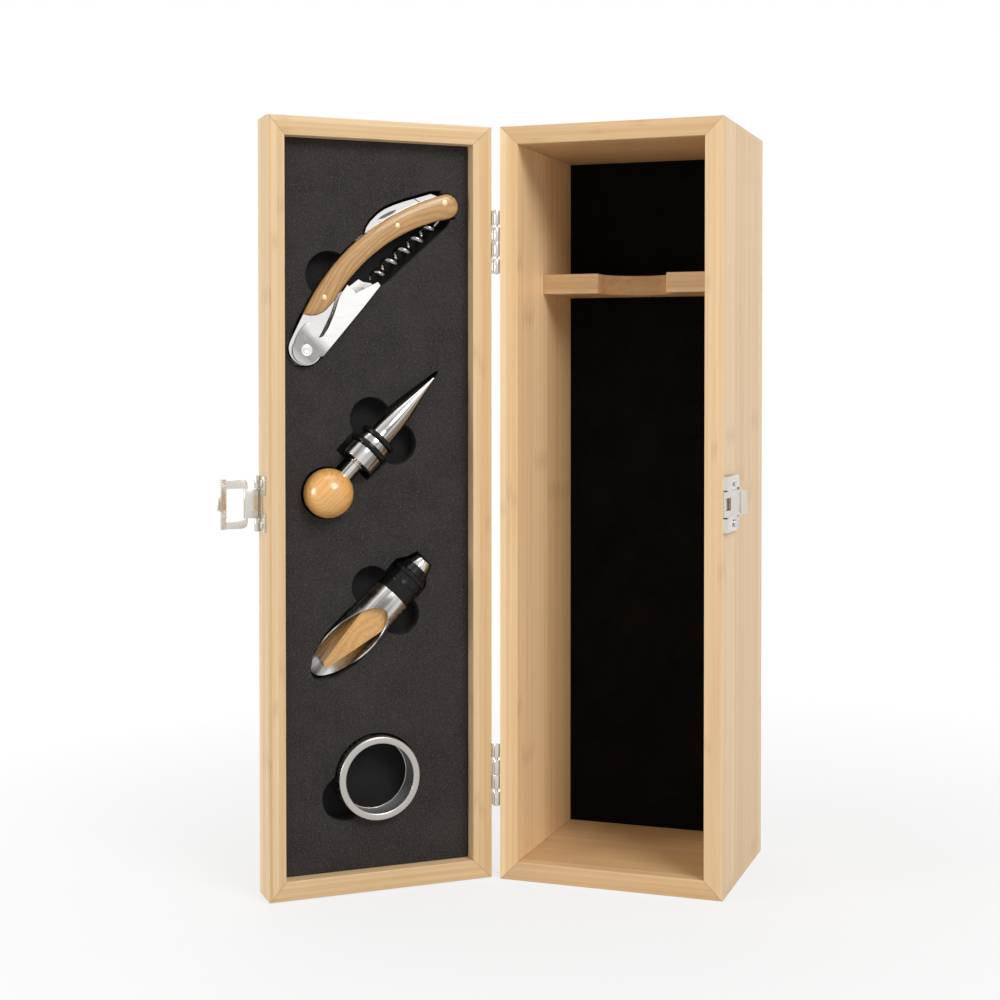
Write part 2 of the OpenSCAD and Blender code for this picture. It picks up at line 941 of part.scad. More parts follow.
wire_points = [for (i = [0 : worm_last]) each wire_ring(i)];
wire_faces = concat(
    [[for (k = [0 : wire_sides - 1]) wire_sides - 1 - k]],
    [[for (k = [0 : wire_sides - 1]) worm_last * wire_sides + k]],
    [for (i = [0 : worm_last - 1]) for (k = [0 : wire_sides - 1])
        [i * wire_sides + k, i * wire_sides + (k + 1) % wire_sides,
         (i + 1) * wire_sides + (k + 1) % wire_sides]],
    [for (i = [0 : worm_last - 1]) for (k = [0 : wire_sides - 1])
        [i * wire_sides + k, (i + 1) * wire_sides + (k + 1) % wire_sides,
         (i + 1) * wire_sides + k]]);

module corkscrew_worm() {
    color([0.2, 0.2, 0.21])
    on_corkscrew()
        difference() {
            union() {
                polyhedron(wire_points, wire_faces);
                translate([far_pin[0], far_pin[1], eye_z])
                    cylinder(r = 2.9, h = eye_t);
            }
            translate([far_pin[0], far_pin[1], 0])
                cylinder(r = far_pin_r + run_gap, h = cork_t);
        }
}

blade_outline = [[97, 3.4], [95.2, 7], [89.2, 10.3], [83.7, 13.4], [78.2, 16.1], [73.8, 17.8],
    [69.8, 18.6], [64.7, 18.7], [61.3, 18.1], [59, 16.9], [62, 14], [68, 12], [76, 10.2], [84, 7],
    [93, -1.5]];
nail_nick = [[67.5, 16.9], [70.4, 16.7], [74.6, 15.4], [78, 13.7], [75.3, 13.7], [70.8, 15.1]];
nick_depth = 0.4;

module foil_blade() {
    color(steel)
    on_corkscrew()
        translate([0, 0, blade_z])
        difference() {
            linear_extrude(blade_t)
                union() {
                    translate(far_pin)
                        circle(3.5);
                    polygon(blade_outline);
                }
            translate([far_pin[0], far_pin[1], -1])
                cylinder(r = far_pin_r + run_gap, h = 4);
            translate([0, 0, blade_t - nick_depth])
                linear_extrude(blade_t)
                polygon(nail_nick);
        }
}

// Pocket in the foam: the folded corkscrew, room for the worm and a finger scoop.
module corkscrew_pocket() {
    g = pocket_gap;
    intersection() {
        difference() {
            translate(back_arc)
                circle(back_arc_r + g, $fn = 360);
            translate(belly_arc)
                circle(belly_arc_r - g, $fn = 360);
        }
        translate([4, -15])
            square([tip_centre[0] - 4, 40]);
    }
    translate(tip_centre)
        circle(tip_r + g);
    translate(bolster_centre)
        circle(bolster_r + g);
    polygon([[-1, 8.2 + g], [4, 10 + g], [10.4, 13], [30, 12], [42, 9], [80, 4], [93, 2],
        [93, -8.4], [90, -9.2], [79.5, -8.6], [62.9, -7.2], [50.8, -6.6], [47, -5.6],
        [32.8, -6.4], [18.8, -7.3], [3, -8.1], [0, -7.4 - g]]);
    polygon([[100, 4.6], [96, 8.2], [89.6, 11.7], [84, 14.8], [78.4, 17.5], [74, 19.1],
        [69.8, 19.8], [64.6, 19.8], [60.8, 19], [57.8, 17.2], [58, 14], [90, -1]]);
    translate([32.9, 15.6])
        circle(11.1);
}

// ---------------------------------------------------------------- stopper

// Its own frame: origin in the ball's centre, x along the axis to the point.
stopper_angle = 46;
stem_r = 3.4;
stem_start = 8.2;
collar_start = 19;
ring_one = 27.6;
ring_two = 33.7;
cord_r = 1.4;
ring_one_r = 8.65;
ring_two_r = 7.7;
cone_start = 35.3;
cone_end = 73.5;
ball_z = foam_z + rest_gap + ball_r;

module stopper_place() {
    translate([tray_x - 24.8, mid_z + 6.9])
        rotate(stopper_angle)
        children();
}

module on_stopper() {
    on_door()
        translate([0, 0, ball_z])
        stopper_place()
        rotate([0, 90, 0])
        children();
}

module stopper_ball() {
    color(beech)
    on_stopper()
        difference() {
            sphere(ball_r, $fn = 96);
            translate([0, 0, stem_start - 0.1])
                cylinder(r = stem_r + run_gap, h = ball_r);
        }
}

module stopper_body() {
    color(steel)
    on_stopper()
        rotate_extrude()
        polygon([[0, stem_start], [stem_r, stem_start], [stem_r, collar_start - 1.4],
            [stem_r + 0.6, collar_start - 1.1], [stem_r + 0.6, collar_start - 0.5],
            [collar_r - 0.4, collar_start], [collar_r, collar_start + 0.4],
            [collar_r, ring_one - cord_r - run_gap],
            [ring_one_r - cord_r - run_gap, ring_one - cord_r - run_gap],
            [ring_one_r - cord_r - run_gap, ring_one + cord_r + run_gap],
            [collar_r - 0.2, ring_one + cord_r + run_gap],
            [collar_r - 0.5, ring_two - cord_r - run_gap],
            [ring_two_r - cord_r - run_gap, ring_two - cord_r - run_gap],
            [ring_two_r - cord_r - run_gap, cone_start],
            [5.9, cone_start], [5.7, 39], [5.3, 44], [4.5, 50], [3.3, 56], [2.2, 62], [1.2, 68],
            [0.4, cone_end - 0.4], [0, cone_end]]);
}

module rubber_ring(z, r) {
    translate([0, 0, z])
        rotate_extrude()
        translate([r, 0])
        circle(cord_r, $fn = 32);
}

module stopper_rings() {
    color(black)
    on_stopper() {
        rubber_ring(ring_one, ring_one_r);
        rubber_ring(ring_two, ring_two_r);
    }
}

// Pocket: round for the ball, narrow at the stem, wide at the collar, tapering to the point.
module stopper_pocket() {
    collar_half = collar_r + 1.9;
    cone_half = 5.9 + pocket_gap;
    circle(ball_r + pocket_gap);
    polygon([[0, -4.7], [17.2, -4.7], [17.2, -collar_half], [36, -collar_half],
        [36.3, -cone_half - 1], [54, -cone_half + 1.4], [77.7, -0.5], [77.7, 0.5],
        [54, cone_half - 1.4], [36.3, cone_half + 1], [36, collar_half], [17.2, collar_half],
        [17.2, 4.7], [0, 4.7]]);
    for (side = [-1, 1])
        translate([39, side * 8.3])
        circle(scoop_r);
}

// ---------------------------------------------------------------- pourer

// Its own frame: origin at the end of the nose, x along the axis to the lip of the spout.
pourer_angle = 224.7;
sleeve_start = 4.5;
spout_start = 21.8;
spout_tube_r = 9.2;
cut_start = 29.4;
spout_end = 72.8;
nose_end = 29;
nose_bore = 3.4;
rib_r = 9.1;
cut_angle = atan((spout_tube_r + spout_r) / (spout_end - cut_start));
pourer_z = foam_z + rest_gap + spout_r;

module pourer_place() {
    translate([tray_x + 21.5, mid_z - 26.1])
        rotate(pourer_angle)
        children();
}

module on_pourer() {
    on_door()
        translate([0, 0, pourer_z])
        pourer_place()
        children();
}

module spout_solid(inset) {
    rotate([0, 90, 0])
        rotate_extrude()
        polygon([[0, spout_start], [spout_tube_r - inset, spout_start],
            [spout_tube_r - inset, 32], [spout_r - inset, 48], [spout_r - inset, spout_end + 2],
            [0, spout_end + 2]]);
}

// A half space above the slanting cut, moved down by a depth.
module above_cut(depth, tilt) {
    translate([cut_start, 0, spout_tube_r - depth])
        rotate([0, tilt, 0])
        translate([-60, -30, 0])
        cube([200, 60, 60]);
}

module pourer_spout() {
    color(steel)
    on_pourer()
        difference() {
            spout_solid(0);
            translate([-eps, 0, 0])
                spout_solid(spout_t);
            above_cut(0, cut_angle);
        }
}

insert_tilt = 13;
insert_drop = 3;                      // the insert's face, below the top of the cut
insert_wide = 36.5;
insert_narrow = 64.5;
insert_wide_r = 6.8;
insert_narrow_r = 1.9;

// Teardrop: a wide and a narrow arc, joined by straight edges.
module teardrop() {
    polygon(concat(
        [for (a = [80 : 10 : 280])
            [insert_wide + insert_wide_r * cos(a), insert_wide_r * sin(a)]],
        [for (a = [-80 : 20 : 80])
            [insert_narrow + insert_narrow_r * cos(a), insert_narrow_r * sin(a)]]));
}

// Wooden teardrop that fills the spout from its floor up to a tilted face.
module pourer_insert() {
    color(beech)
    on_pourer()
        difference() {
            intersection() {
                translate([0, 0, -spout_r])
                    linear_extrude(2 * spout_r)
                    teardrop();
                spout_solid(spout_t + run_gap);
            }
            above_cut(insert_drop, insert_tilt);
        }
}

module pourer_sleeve() {
    bore = 5.4 + run_gap;
    plug = spout_tube_r - spout_t - run_gap;
    color(black)
    on_pourer()
        rotate([0, 90, 0])
        rotate_extrude()
        polygon([[bore, sleeve_start], [6.3, sleeve_start], [7.6, 9], [rib_r, 9.3],
            [rib_r, 10.9], [8.2, 11.3], [spout_tube_r - 0.1, spout_start - run_gap],
            [plug, spout_start - run_gap], [plug, 28.5], [bore, 28.5]]);
}

module pourer_nose() {
    color(steel)
    on_pourer()
        rotate([0, 90, 0])
        rotate_extrude()
        polygon([[nose_bore, 0], [4.2, 0], [5.4, 4.2], [5.4, nose_end], [nose_bore, nose_end]]);
}

module pourer_pocket() {
    g = pocket_gap;
    wide = spout_r + g;
    polygon([[-g - 0.8, -5], [-g - 0.8, 5], [4, 7], [8, rib_r + 1], [12, rib_r + 1],
        [14, spout_tube_r + g], [30, spout_tube_r + g], [44, wide], [56, wide], [66, 8.2],
        [73, 3.2], [73.8, 0], [73, -3.2], [66, -8.2], [56, -wide], [44, -wide],
        [30, -spout_tube_r - g], [14, -spout_tube_r - g], [12, -rib_r - 1], [8, -rib_r - 1],
        [4, -7]]);
    for (side = [-1, 1])
        translate([25.5, side * 9.6])
        circle(scoop_r - 0.4);
}

// ---------------------------------------------------------------- drip ring

rim_t = 1.2;
ring_wall = 1.2;

module ring_place() {
    translate([tray_x - 0.9, mid_z - 125.8])
        children();
}

module on_ring() {
    on_door()
        translate([0, 0, foam_z + rest_gap])
        ring_place()
        children();
}

module drip_ring() {
    inner = ring_r - rim_w;
    color(steel)
    on_ring()
        rotate_extrude($fn = 96)
        polygon([[inner, 0.3], [inner + 0.4, 0], [ring_r - 0.5, 0], [ring_r, 0.5],
            [ring_r, ring_h - 0.5], [ring_r - 0.5, ring_h], [inner + 0.4, ring_h],
            [inner, ring_h - 0.3], [inner, ring_h - rim_t], [ring_r - ring_wall, ring_h - rim_t],
            [ring_r - ring_wall, rim_t], [inner, rim_t]]);
}

module ring_felt() {
    color(black)
    on_ring()
        rotate_extrude($fn = 96)
        polygon([[ring_r - rim_w + 0.3, rim_t], [ring_r - ring_wall, rim_t],
            [ring_r - ring_wall, ring_h - rim_t], [ring_r - rim_w + 0.3, ring_h - rim_t]]);
}

module ring_pocket() {
    circle(ring_r + pocket_gap + 0.2, $fn = 96);
    translate([-15.5, -8.6])
        circle(10.8);
}

// ---------------------------------------------------------------- the parts

box_left_side();
box_right_side();
box_top();
box_bottom();
back_panel();
back_liner();
neck_shelf();
box_leaf(hinge_heights[1]);  // upper_hinge_box_leaf
box_leaf(hinge_heights[0]);  // lower_hinge_box_leaf
hinge_pin(hinge_heights[1]);  // upper_hinge_pin
hinge_pin(hinge_heights[0]);  // lower_hinge_pin
hinge_box_screws();
keeper();
keeper_screws();
door_hinge_stile();
door_latch_stile();
door_top_rail();
door_bottom_rail();
door_panel();
foam_backing();
foam_tray();
door_leaf(hinge_heights[1]);  // upper_hinge_door_leaf
door_leaf(hinge_heights[0]);  // lower_hinge_door_leaf
hinge_door_screws();
latch_base();
latch_base_screws();
latch_pin();
latch_link();
latch_flap();
corkscrew_frame();
wooden_scale(cork_t - scale_t);  // corkscrew_front_scale
wooden_scale(0);  // corkscrew_back_scale
handle_rivets();
lever_rivet();
worm_pin();
corkscrew_lever();
corkscrew_worm();
foil_blade();
stopper_ball();
stopper_body();
stopper_rings();
pourer_spout();
pourer_insert();
pourer_sleeve();
pourer_nose();
drip_ring();
ring_felt();
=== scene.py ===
"""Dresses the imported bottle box: boards, foam tray, fittings and wine tools, their finishes and the stage."""

import math

import bmesh
import bpy
from mathutils import Matrix, Vector, geometry


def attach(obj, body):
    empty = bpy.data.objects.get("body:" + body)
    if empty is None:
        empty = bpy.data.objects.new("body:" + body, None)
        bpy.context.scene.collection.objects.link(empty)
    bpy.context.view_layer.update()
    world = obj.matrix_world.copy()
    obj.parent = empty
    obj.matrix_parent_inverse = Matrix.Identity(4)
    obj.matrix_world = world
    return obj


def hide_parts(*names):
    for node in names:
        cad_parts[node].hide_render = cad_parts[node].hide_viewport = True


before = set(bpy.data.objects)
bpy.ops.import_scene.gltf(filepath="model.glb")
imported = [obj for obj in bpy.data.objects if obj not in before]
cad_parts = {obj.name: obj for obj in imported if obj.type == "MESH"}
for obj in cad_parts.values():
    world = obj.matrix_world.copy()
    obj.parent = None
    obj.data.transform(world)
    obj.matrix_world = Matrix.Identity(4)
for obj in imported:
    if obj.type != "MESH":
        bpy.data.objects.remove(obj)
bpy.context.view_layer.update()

bl_info = {
    "name": "Bottle Box Dressing",
    "version": (1, 0, 0),
    "blender": (4, 5, 0),
    "location": "View3D > Sidebar > Bottle Box",
    "description": "Builds the boards, foam tray, fittings and tools of a wooden bottle box",
    "category": "Object",
}

MM = 0.001

# Sizes in millimetres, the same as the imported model's.
BOX_W = 107.0
BOX_D = 88.0
BOX_H = 355.0
DOOR_T = 19.0
DOOR_GAP = 0.3
HINGE = Vector((-BOX_W / 2 - 2.1, -BOX_D / 2 + 0.75, 0.0))
OPEN_ANGLE = math.radians(138.6)
HINGE_HEIGHTS = {"lower": 49.5, "upper": 301.0}
LATCH_Z = BOX_H / 2 + 2.3


def turn(degrees, axis):
    return Matrix.Rotation(math.radians(degrees), 4, axis)


def shift(x=0.0, y=0.0, z=0.0):
    return Matrix.Translation((x, y, z))


# Places, from a piece's own millimetres to the row frame's metres.
ROW = Matrix.Scale(MM, 4)
OPENED = ROW @ Matrix.Translation(HINGE) @ Matrix.Rotation(-OPEN_ANGLE, 4, "Z") @ Matrix.Translation(-HINGE)
TRAY = OPENED @ shift(BOX_W / 2, -BOX_D / 2 - DOOR_GAP - DOOR_T) @ turn(180, "Z") @ turn(90, "X")
CORKSCREW = TRAY @ shift(18.5, 249.6, 3.7) @ turn(46.2, "Z")
STOPPER = TRAY @ shift(28.7, 184.4, 15.15) @ turn(46.0, "Z")
POURER = TRAY @ shift(75.0, 151.4, 13.7) @ turn(224.7, "Z")
DRIP_RING = TRAY @ shift(52.6, 51.7, 3.7) @ turn(-90, "Y")
LATCH = TRAY @ shift(0, LATCH_Z, 0) @ turn(180, "Z")

# Pins of the corkscrew in its own millimetres, and the thickness that they go through.
HANDLE_RIVETS = ((71.8, 8.8), (23.2, 10.6))
WORM_PIN = (96.0, 0.0)
HANDLE_T = 12.0

# The photograph's camera, solved from the edges of the box and the door, in millimetres.
CAMERA_PLACE = (218.4875, -787.9915, 236.924)
CAMERA_RIGHT = (0.944739, 0.327825, 0.0)
CAMERA_UP = (-0.006228, 0.017949, 0.99982)
CAMERA_LENS = 60.565
CAMERA_SHIFT = (-0.02787, -0.08983)

# The place and the size of each lamp, in metres.
LAMPS = {
    "left": ((-1.20, -1.06, 0.40), 0.6),
    "right": ((1.15, -0.85, 1.25), 0.9),
    "top": ((-0.1, -0.1, 1.9), 1.2),
    "back": ((-0.7, 1.5, 0.9), 1.0),
}

JOINT_BROWN = (0.30, 0.15, 0.06, 1.0)


# ------------------------------------------------------------------ sizes and colours to change


def colour_setting(name, description, colour):
    return bpy.props.FloatVectorProperty(
        name=name, description=description, subtype="COLOR", size=4, min=0.0, max=1.0, default=colour)


def lamp_setting(side, power):
    return bpy.props.FloatProperty(
        name=f"{side} Lamp", description=f"Power of the {side.lower()} lamp",
        unit="POWER", min=0.0, max=200.0, default=power)


class WoodFinish(bpy.types.PropertyGroup):
    """Colours of the bamboo boards."""

    pale: colour_setting("Pale Strip", "Colour of the lightest bamboo strips", (0.87, 0.655, 0.41, 1.0))
    deep: colour_setting("Deep Strip", "Colour of the darkest bamboo strips", (0.66, 0.425, 0.205, 1.0))
    strip: bpy.props.FloatProperty(
        name="Strip Width", description="Width of one glued bamboo strip",
        subtype="DISTANCE", unit="LENGTH", min=0.001, max=0.06, default=0.0029)
    ease: bpy.props.FloatProperty(
        name="Eased Edge", description="Width of the sanded edge of a board, in millimetres",
        min=0.05, max=1.0, default=0.45)


class FoamFinish(bpy.types.PropertyGroup):
    """Colour and edge of the foam tray."""

    colour: colour_setting("Foam Colour", "Colour of the foam's face", (0.024, 0.0215, 0.021, 1.0))
    edge: bpy.props.FloatProperty(
        name="Cut Edge", description="Rounding of the cut edges, in millimetres",
        min=0.1, max=1.2, default=0.5)


class MetalFinish(bpy.types.PropertyGroup):
    """Colours and gloss of the fittings and the tools."""

    nickel: colour_setting("Nickel", "Colour of the hinges and the latch", (0.66, 0.63, 0.58, 1.0))
    steel: colour_setting("Steel", "Colour of the tools' steel", (0.80, 0.79, 0.775, 1.0))
    gloss: bpy.props.FloatProperty(
        name="Polish", description="Roughness of the polished steel",
        subtype="FACTOR", min=0.0, max=0.5, default=0.09)


class StageLight(bpy.types.PropertyGroup):
    """Strengths of the studio lamps."""

    left: lamp_setting("Left", 9.8)
    right: lamp_setting("Right", 19.0)
    top: lamp_setting("Top", 7.0)
    back: lamp_setting("Back", 5.0)
    sky: bpy.props.FloatProperty(
        name="Room Light", description="Strength of the light from all sides",
        min=0.0, max=2.0, default=0.36)


class BottleBox(bpy.types.PropertyGroup):
    """All the settings of the dressing."""

    wood: bpy.props.PointerProperty(type=WoodFinish)
    foam: bpy.props.PointerProperty(type=FoamFinish)
    metal: bpy.props.PointerProperty(type=MetalFinish)
    light: bpy.props.PointerProperty(type=StageLight)


def settings():
    return bpy.context.scene.bottle_box


# ------------------------------------------------------------------ node helpers


def put(tree, kind, settings=None, **inputs):
    """Adds a node, with its settings, and its inputs as values or as sockets to link."""
    made = tree.nodes.new(kind)
    for name, value in (settings or {}).items():
        setattr(made, name, value)
    for name, value in inputs.items():
        socket = made.inputs[name.replace("_", " ")]
        if isinstance(value, bpy.types.NodeSocket):
            tree.links.new(value, socket)
        else:
            socket.default_value = value
    return made


def wire(tree, node, **inputs):
    """Links sockets to a node's inputs."""
    for name, value in inputs.items():
        tree.links.new(value, node.inputs[name.replace("_", " ")])


def maths(tree, operation, *values, clamp=False):
    """A Math node; returns its result."""
    made = tree.nodes.new("ShaderNodeMath")
    made.operation = operation
    made.use_clamp = clamp
    for socket, value in zip(made.inputs, values):
        if isinstance(value, bpy.types.NodeSocket):
            tree.links.new(value, socket)
        else:
            socket.default_value = value
    return made.outputs[0]


def plus(tree, first, second, clamp=False):
    return maths(tree, "ADD", first, second, clamp=clamp)


def times(tree, first, second):
    return maths(tree, "MULTIPLY", first, second)


def ramp(tree, value, low, high, out_low, out_high):
    """A clamped Map Range node; returns its result."""
    return put(tree, "ShaderNodeMapRange", {"clamp": True}, Value=value, From_Min=low, From_Max=high,
               To_Min=out_low, To_Max=out_high).outputs["Result"]


def stretched(tree, vector, scale):
    """The vector with its axes scaled apart, for long grain."""
    return put(tree, "ShaderNodeMapping", None, Vector=vector, Scale=scale).outputs["Vector"]


def noise(tree, vector, scale=1.0, detail=3.0, roughness=0.55):
    return put(tree, "ShaderNodeTexNoise", None, Vector=vector, Scale=scale, Detail=detail,
               Roughness=roughness).outputs["Fac"]


def blended(tree, factor, first, second, mode="MIX"):
    """A colour Mix node; returns its colour."""
    made = tree.nodes.new("ShaderNodeMix")
    made.data_type = "RGBA"
    made.blend_type = mode
    for index, value in ((0, factor), (6, first), (7, second)):
        if isinstance(value, bpy.types.NodeSocket):
            tree.links.new(value, made.inputs[index])
        else:
            made.inputs[index].default_value = value
    return made.outputs[2]


def new_group(name, inputs, outputs):
    """An empty shader node group with named sockets: (tree, its inputs, its output node)."""
    tree = bpy.data.node_groups.new(name, "ShaderNodeTree")
    kinds = {"v": "NodeSocketVector", "f": "NodeSocketFloat", "c": "NodeSocketColor"}
    for label, kind, value in inputs:
        socket = tree.interface.new_socket(name=label, in_out="INPUT", socket_type=kinds[kind])
        if value is not None:
            socket.default_value = value
    for label, kind in outputs:
        tree.interface.new_socket(name=label, in_out="OUTPUT", socket_type=kinds[kind])
    return tree, tree.nodes.new("NodeGroupInput").outputs, tree.nodes.new("NodeGroupOutput")


def bamboo_group():
    """Glued bamboo strips: a tone for each strip, long fibres, knuckle marks and glue lines."""
    name = "bamboo strips"
    if name in bpy.data.node_groups:
        return bpy.data.node_groups[name]
    tree, given, out = new_group(
        name,
        [("Vector", "v", None), ("Strip Width", "f", 0.0065), ("Pale", "c", (0.8, 0.6, 0.4, 1)),
         ("Deep", "c", (0.6, 0.4, 0.2, 1)), ("Mark", "c", JOINT_BROWN)],
        [("Color", "c"), ("Roughness", "f"), ("Height", "f")])
    vector = given["Vector"]
    flatness = 6.5
    knuckle_apart = 0.21
    split = put(tree, "ShaderNodeSeparateXYZ", None, Vector=vector)
    layers = maths(tree, "FLOOR", maths(tree, "DIVIDE", split.outputs["X"], given["Strip Width"]))
    widths = maths(tree, "DIVIDE", split.outputs["Y"], times(tree, given["Strip Width"], flatness))
    number = plus(tree, layers, times(tree, maths(tree, "FLOOR", widths), 37.7))
    own_tone = put(tree, "ShaderNodeTexWhiteNoise", {"noise_dimensions": "1D"}, W=number).outputs["Value"]
    glue = ramp(tree, maths(tree, "PINGPONG", widths, 0.5), 0.0, 0.012, 1.0, 0.0)
    fibres = noise(tree, stretched(tree, vector, (1500.0, 1500.0, 16.0)), 1.0, 4.0, 0.6)
    streaks = noise(tree, stretched(tree, vector, (430.0, 430.0, 4.0)), 1.0, 2.0, 0.5)
    clouds = noise(tree, stretched(tree, vector, (14.0, 14.0, 5.0)), 1.0, 2.0, 0.5)
    long = plus(tree, split.outputs["Z"], times(tree, own_tone, 0.67))
    wobble = times(tree, maths(tree, "SUBTRACT", streaks, 0.5), 0.012)
    period = maths(tree, "DIVIDE", plus(tree, long, wobble), knuckle_apart)
    away = times(tree, maths(tree, "PINGPONG", period, 0.5), knuckle_apart)
    knuckle = times(tree, ramp(tree, away, 0.0005, 0.0060, 1.0, 0.0),
                    ramp(tree, fibres, 0.40, 0.62, 0.35, 1.0))
    tone = plus(tree, times(tree, own_tone, 0.50),
                times(tree, ramp(tree, streaks, 0.34, 0.66, 0.0, 1.0), 0.32))
    tone = plus(tree, tone, times(tree, ramp(tree, fibres, 0.34, 0.66, 0.0, 1.0), 0.24))
    tone = plus(tree, tone, times(tree, clouds, 0.10), clamp=True)
    colour = blended(tree, tone, given["Pale"], given["Deep"])
    marks = plus(tree, times(tree, glue, 0.05), times(tree, knuckle, 0.24))
    colour = blended(tree, marks, colour, given["Mark"])
    wire(tree, out, Color=colour, Roughness=ramp(tree, fibres, 0.2, 0.8, 0.34, 0.46),
         Height=maths(tree, "SUBTRACT", times(tree, fibres, 0.5), times(tree, glue, 0.5)))
    return tree


def figure_group():
    """Open-grained hardwood: rings drawn long, with dark pores."""
    name = "hardwood figure"
    if name in bpy.data.node_groups:
        return bpy.data.node_groups[name]
    tree, given, out = new_group(
        name,
        [("Vector", "v", None), ("Pale", "c", (0.7, 0.45, 0.22, 1)), ("Deep", "c", (0.45, 0.22, 0.08, 1)),
         ("Pore", "c", (0.12, 0.05, 0.02, 1)), ("Pores", "f", 0.5)],
        [("Color", "c"), ("Roughness", "f"), ("Height", "f")])
    vector = given["Vector"]
    warp = noise(tree, stretched(tree, vector, (18.0, 60.0, 60.0)), 1.0, 2.0, 0.5)
    split = put(tree, "ShaderNodeSeparateXYZ", None, Vector=vector)
    band = plus(tree, times(tree, split.outputs["Y"], 420.0),
                plus(tree, times(tree, split.outputs["Z"], 160.0), times(tree, warp, 7.0)))
    rings = ramp(tree, maths(tree, "PINGPONG", band, 0.5), 0.05, 0.5, 0.0, 1.0)
    fine = noise(tree, stretched(tree, vector, (120.0, 2200.0, 2200.0)), 1.0, 3.0, 0.6)
    pores = noise(tree, stretched(tree, vector, (260.0, 3400.0, 3400.0)), 1.0, 1.0, 0.4)
    tone = plus(tree, times(tree, rings, 0.55), times(tree, ramp(tree, fine, 0.3, 0.7, 0.0, 1.0), 0.45),
                clamp=True)
    colour = blended(tree, tone, given["Pale"], given["Deep"])
    dark = times(tree, ramp(tree, pores, 0.60, 0.68, 0.0, 1.0), given["Pores"])
    colour = blended(tree, dark, colour, given["Pore"])
    wire(tree, out, Color=colour, Roughness=ramp(tree, fine, 0.2, 0.8, 0.30, 0.48),
         Height=maths(tree, "SUBTRACT", fine, dark))
    return tree


def speckle_group():
    """Closed-cell foam, board or rubber: pale flecks on a dark ground."""
    name = "cell speckle"
    if name in bpy.data.node_groups:
        return bpy.data.node_groups[name]
    tree, given, out = new_group(
        name,
        [("Vector", "v", None), ("Ground", "c", (0.03, 0.03, 0.03, 1)), ("Fleck", "c", (0.1, 0.1, 0.1, 1)),
         ("Scale", "f", 1800.0), ("Amount", "f", 0.5), ("Smoothest", "f", 0.75), ("Roughest", "f", 0.95)],
        [("Color", "c"), ("Roughness", "f"), ("Height", "f")])
    cells = noise(tree, given["Vector"], given["Scale"], 2.0, 0.65)
    broad = noise(tree, given["Vector"], 60.0, 3.0, 0.5)
    flecks = times(tree, ramp(tree, cells, 0.50, 0.72, 0.0, 1.0), given["Amount"])
    colour = blended(tree, flecks, given["Ground"], given["Fleck"])
    colour = blended(tree, ramp(tree, broad, 0.3, 0.7, 0.0, 0.12), colour, given["Fleck"])
    level = ramp(tree, cells, 0.3, 0.7, given["Smoothest"], given["Roughest"])
    wire(tree, out, Color=colour, Roughness=level, Height=cells)
    return tree


def brushed_group():
    """Fine drawn lines and faint handling marks on metal."""
    name = "metal lines"
    if name in bpy.data.node_groups:
        return bpy.data.node_groups[name]
    tree, given, out = new_group(
        name,
        [("Vector", "v", None), ("Smoothest", "f", 0.1), ("Roughest", "f", 0.3),
         ("Lines", "v", (60, 60, 4000))],
        [("Roughness", "f"), ("Height", "f")])
    scaled = put(tree, "ShaderNodeVectorMath", {"operation": "MULTIPLY"})
    tree.links.new(given["Vector"], scaled.inputs[0])
    tree.links.new(given["Lines"], scaled.inputs[1])
    lines = noise(tree, scaled.outputs["Vector"], 1.0, 3.0, 0.6)
    marks = noise(tree, given["Vector"], 90.0, 2.0, 0.5)
    mixed = plus(tree, times(tree, lines, 0.7), times(tree, marks, 0.3))
    level = ramp(tree, mixed, 0.3, 0.7, given["Smoothest"], given["Roughest"])
    wire(tree, out, Roughness=level, Height=lines)
    return tree


def new_material(name):
    """A material with its Principled BSDF: (material, tree, shader, object coordinates)."""
    material = bpy.data.materials.new(name)
    material.use_nodes = True
    tree = material.node_tree
    shader = tree.nodes["Principled BSDF"]
    place = tree.nodes.new("ShaderNodeTexCoord").outputs["Object"]
    return material, tree, shader, place


def seen_rays(tree):
    """1 on the rays that show the background: from the camera, or through and off the object."""
    rays = tree.nodes.new("ShaderNodeLightPath").outputs
    seen = maths(tree, "MAXIMUM", rays["Is Camera Ray"], rays["Is Transmission Ray"])
    return maths(tree, "MAXIMUM", seen, rays["Is Glossy Ray"])


def bump(tree, shader, height, strength, distance):
    made = put(tree, "ShaderNodeBump", None, Height=height, Strength=strength, Distance=distance)
    wire(tree, shader, Normal=made.outputs["Normal"])


def tinted(colour, tone):
    """A colour scaled by a tone, such as a board's painted light or painted shade."""
    return [c * t for c, t in zip(colour, tone)] + [1.0]


def bamboo(name, place, spin=0.0, lay=False, tone=(1.0, 1.0, 1.0)):
    """Bamboo for one board: its grain stands upright, or lies along the board's length."""
    wood = settings().wood
    material, tree, shader, vector = new_material(name)
    vector = put(tree, "ShaderNodeMapping", None, Vector=vector, Location=place,
                 Rotation=(0.0, 0.0, spin)).outputs["Vector"]
    if lay:
        vector = put(tree, "ShaderNodeMapping", None, Vector=vector,
                     Rotation=(0.0, -math.pi / 2, 0.0)).outputs["Vector"]
    group = put(tree, "ShaderNodeGroup", {"node_tree": bamboo_group()}, Vector=vector, Strip_Width=wood.strip,
                Pale=tinted(wood.pale, tone), Deep=tinted(wood.deep, tone))
    joint = put(tree, "ShaderNodeAttribute", {"attribute_name": "joint"}).outputs["Fac"]
    seam = blended(tree, times(tree, joint, 0.6), group.outputs["Color"], JOINT_BROWN)
    wire(tree, shader, Base_Color=seam, Roughness=group.outputs["Roughness"])
    shader.inputs["Specular IOR Level"].default_value = 0.3
    bump(tree, shader, group.outputs["Height"], 0.25, 0.00008)
    return material


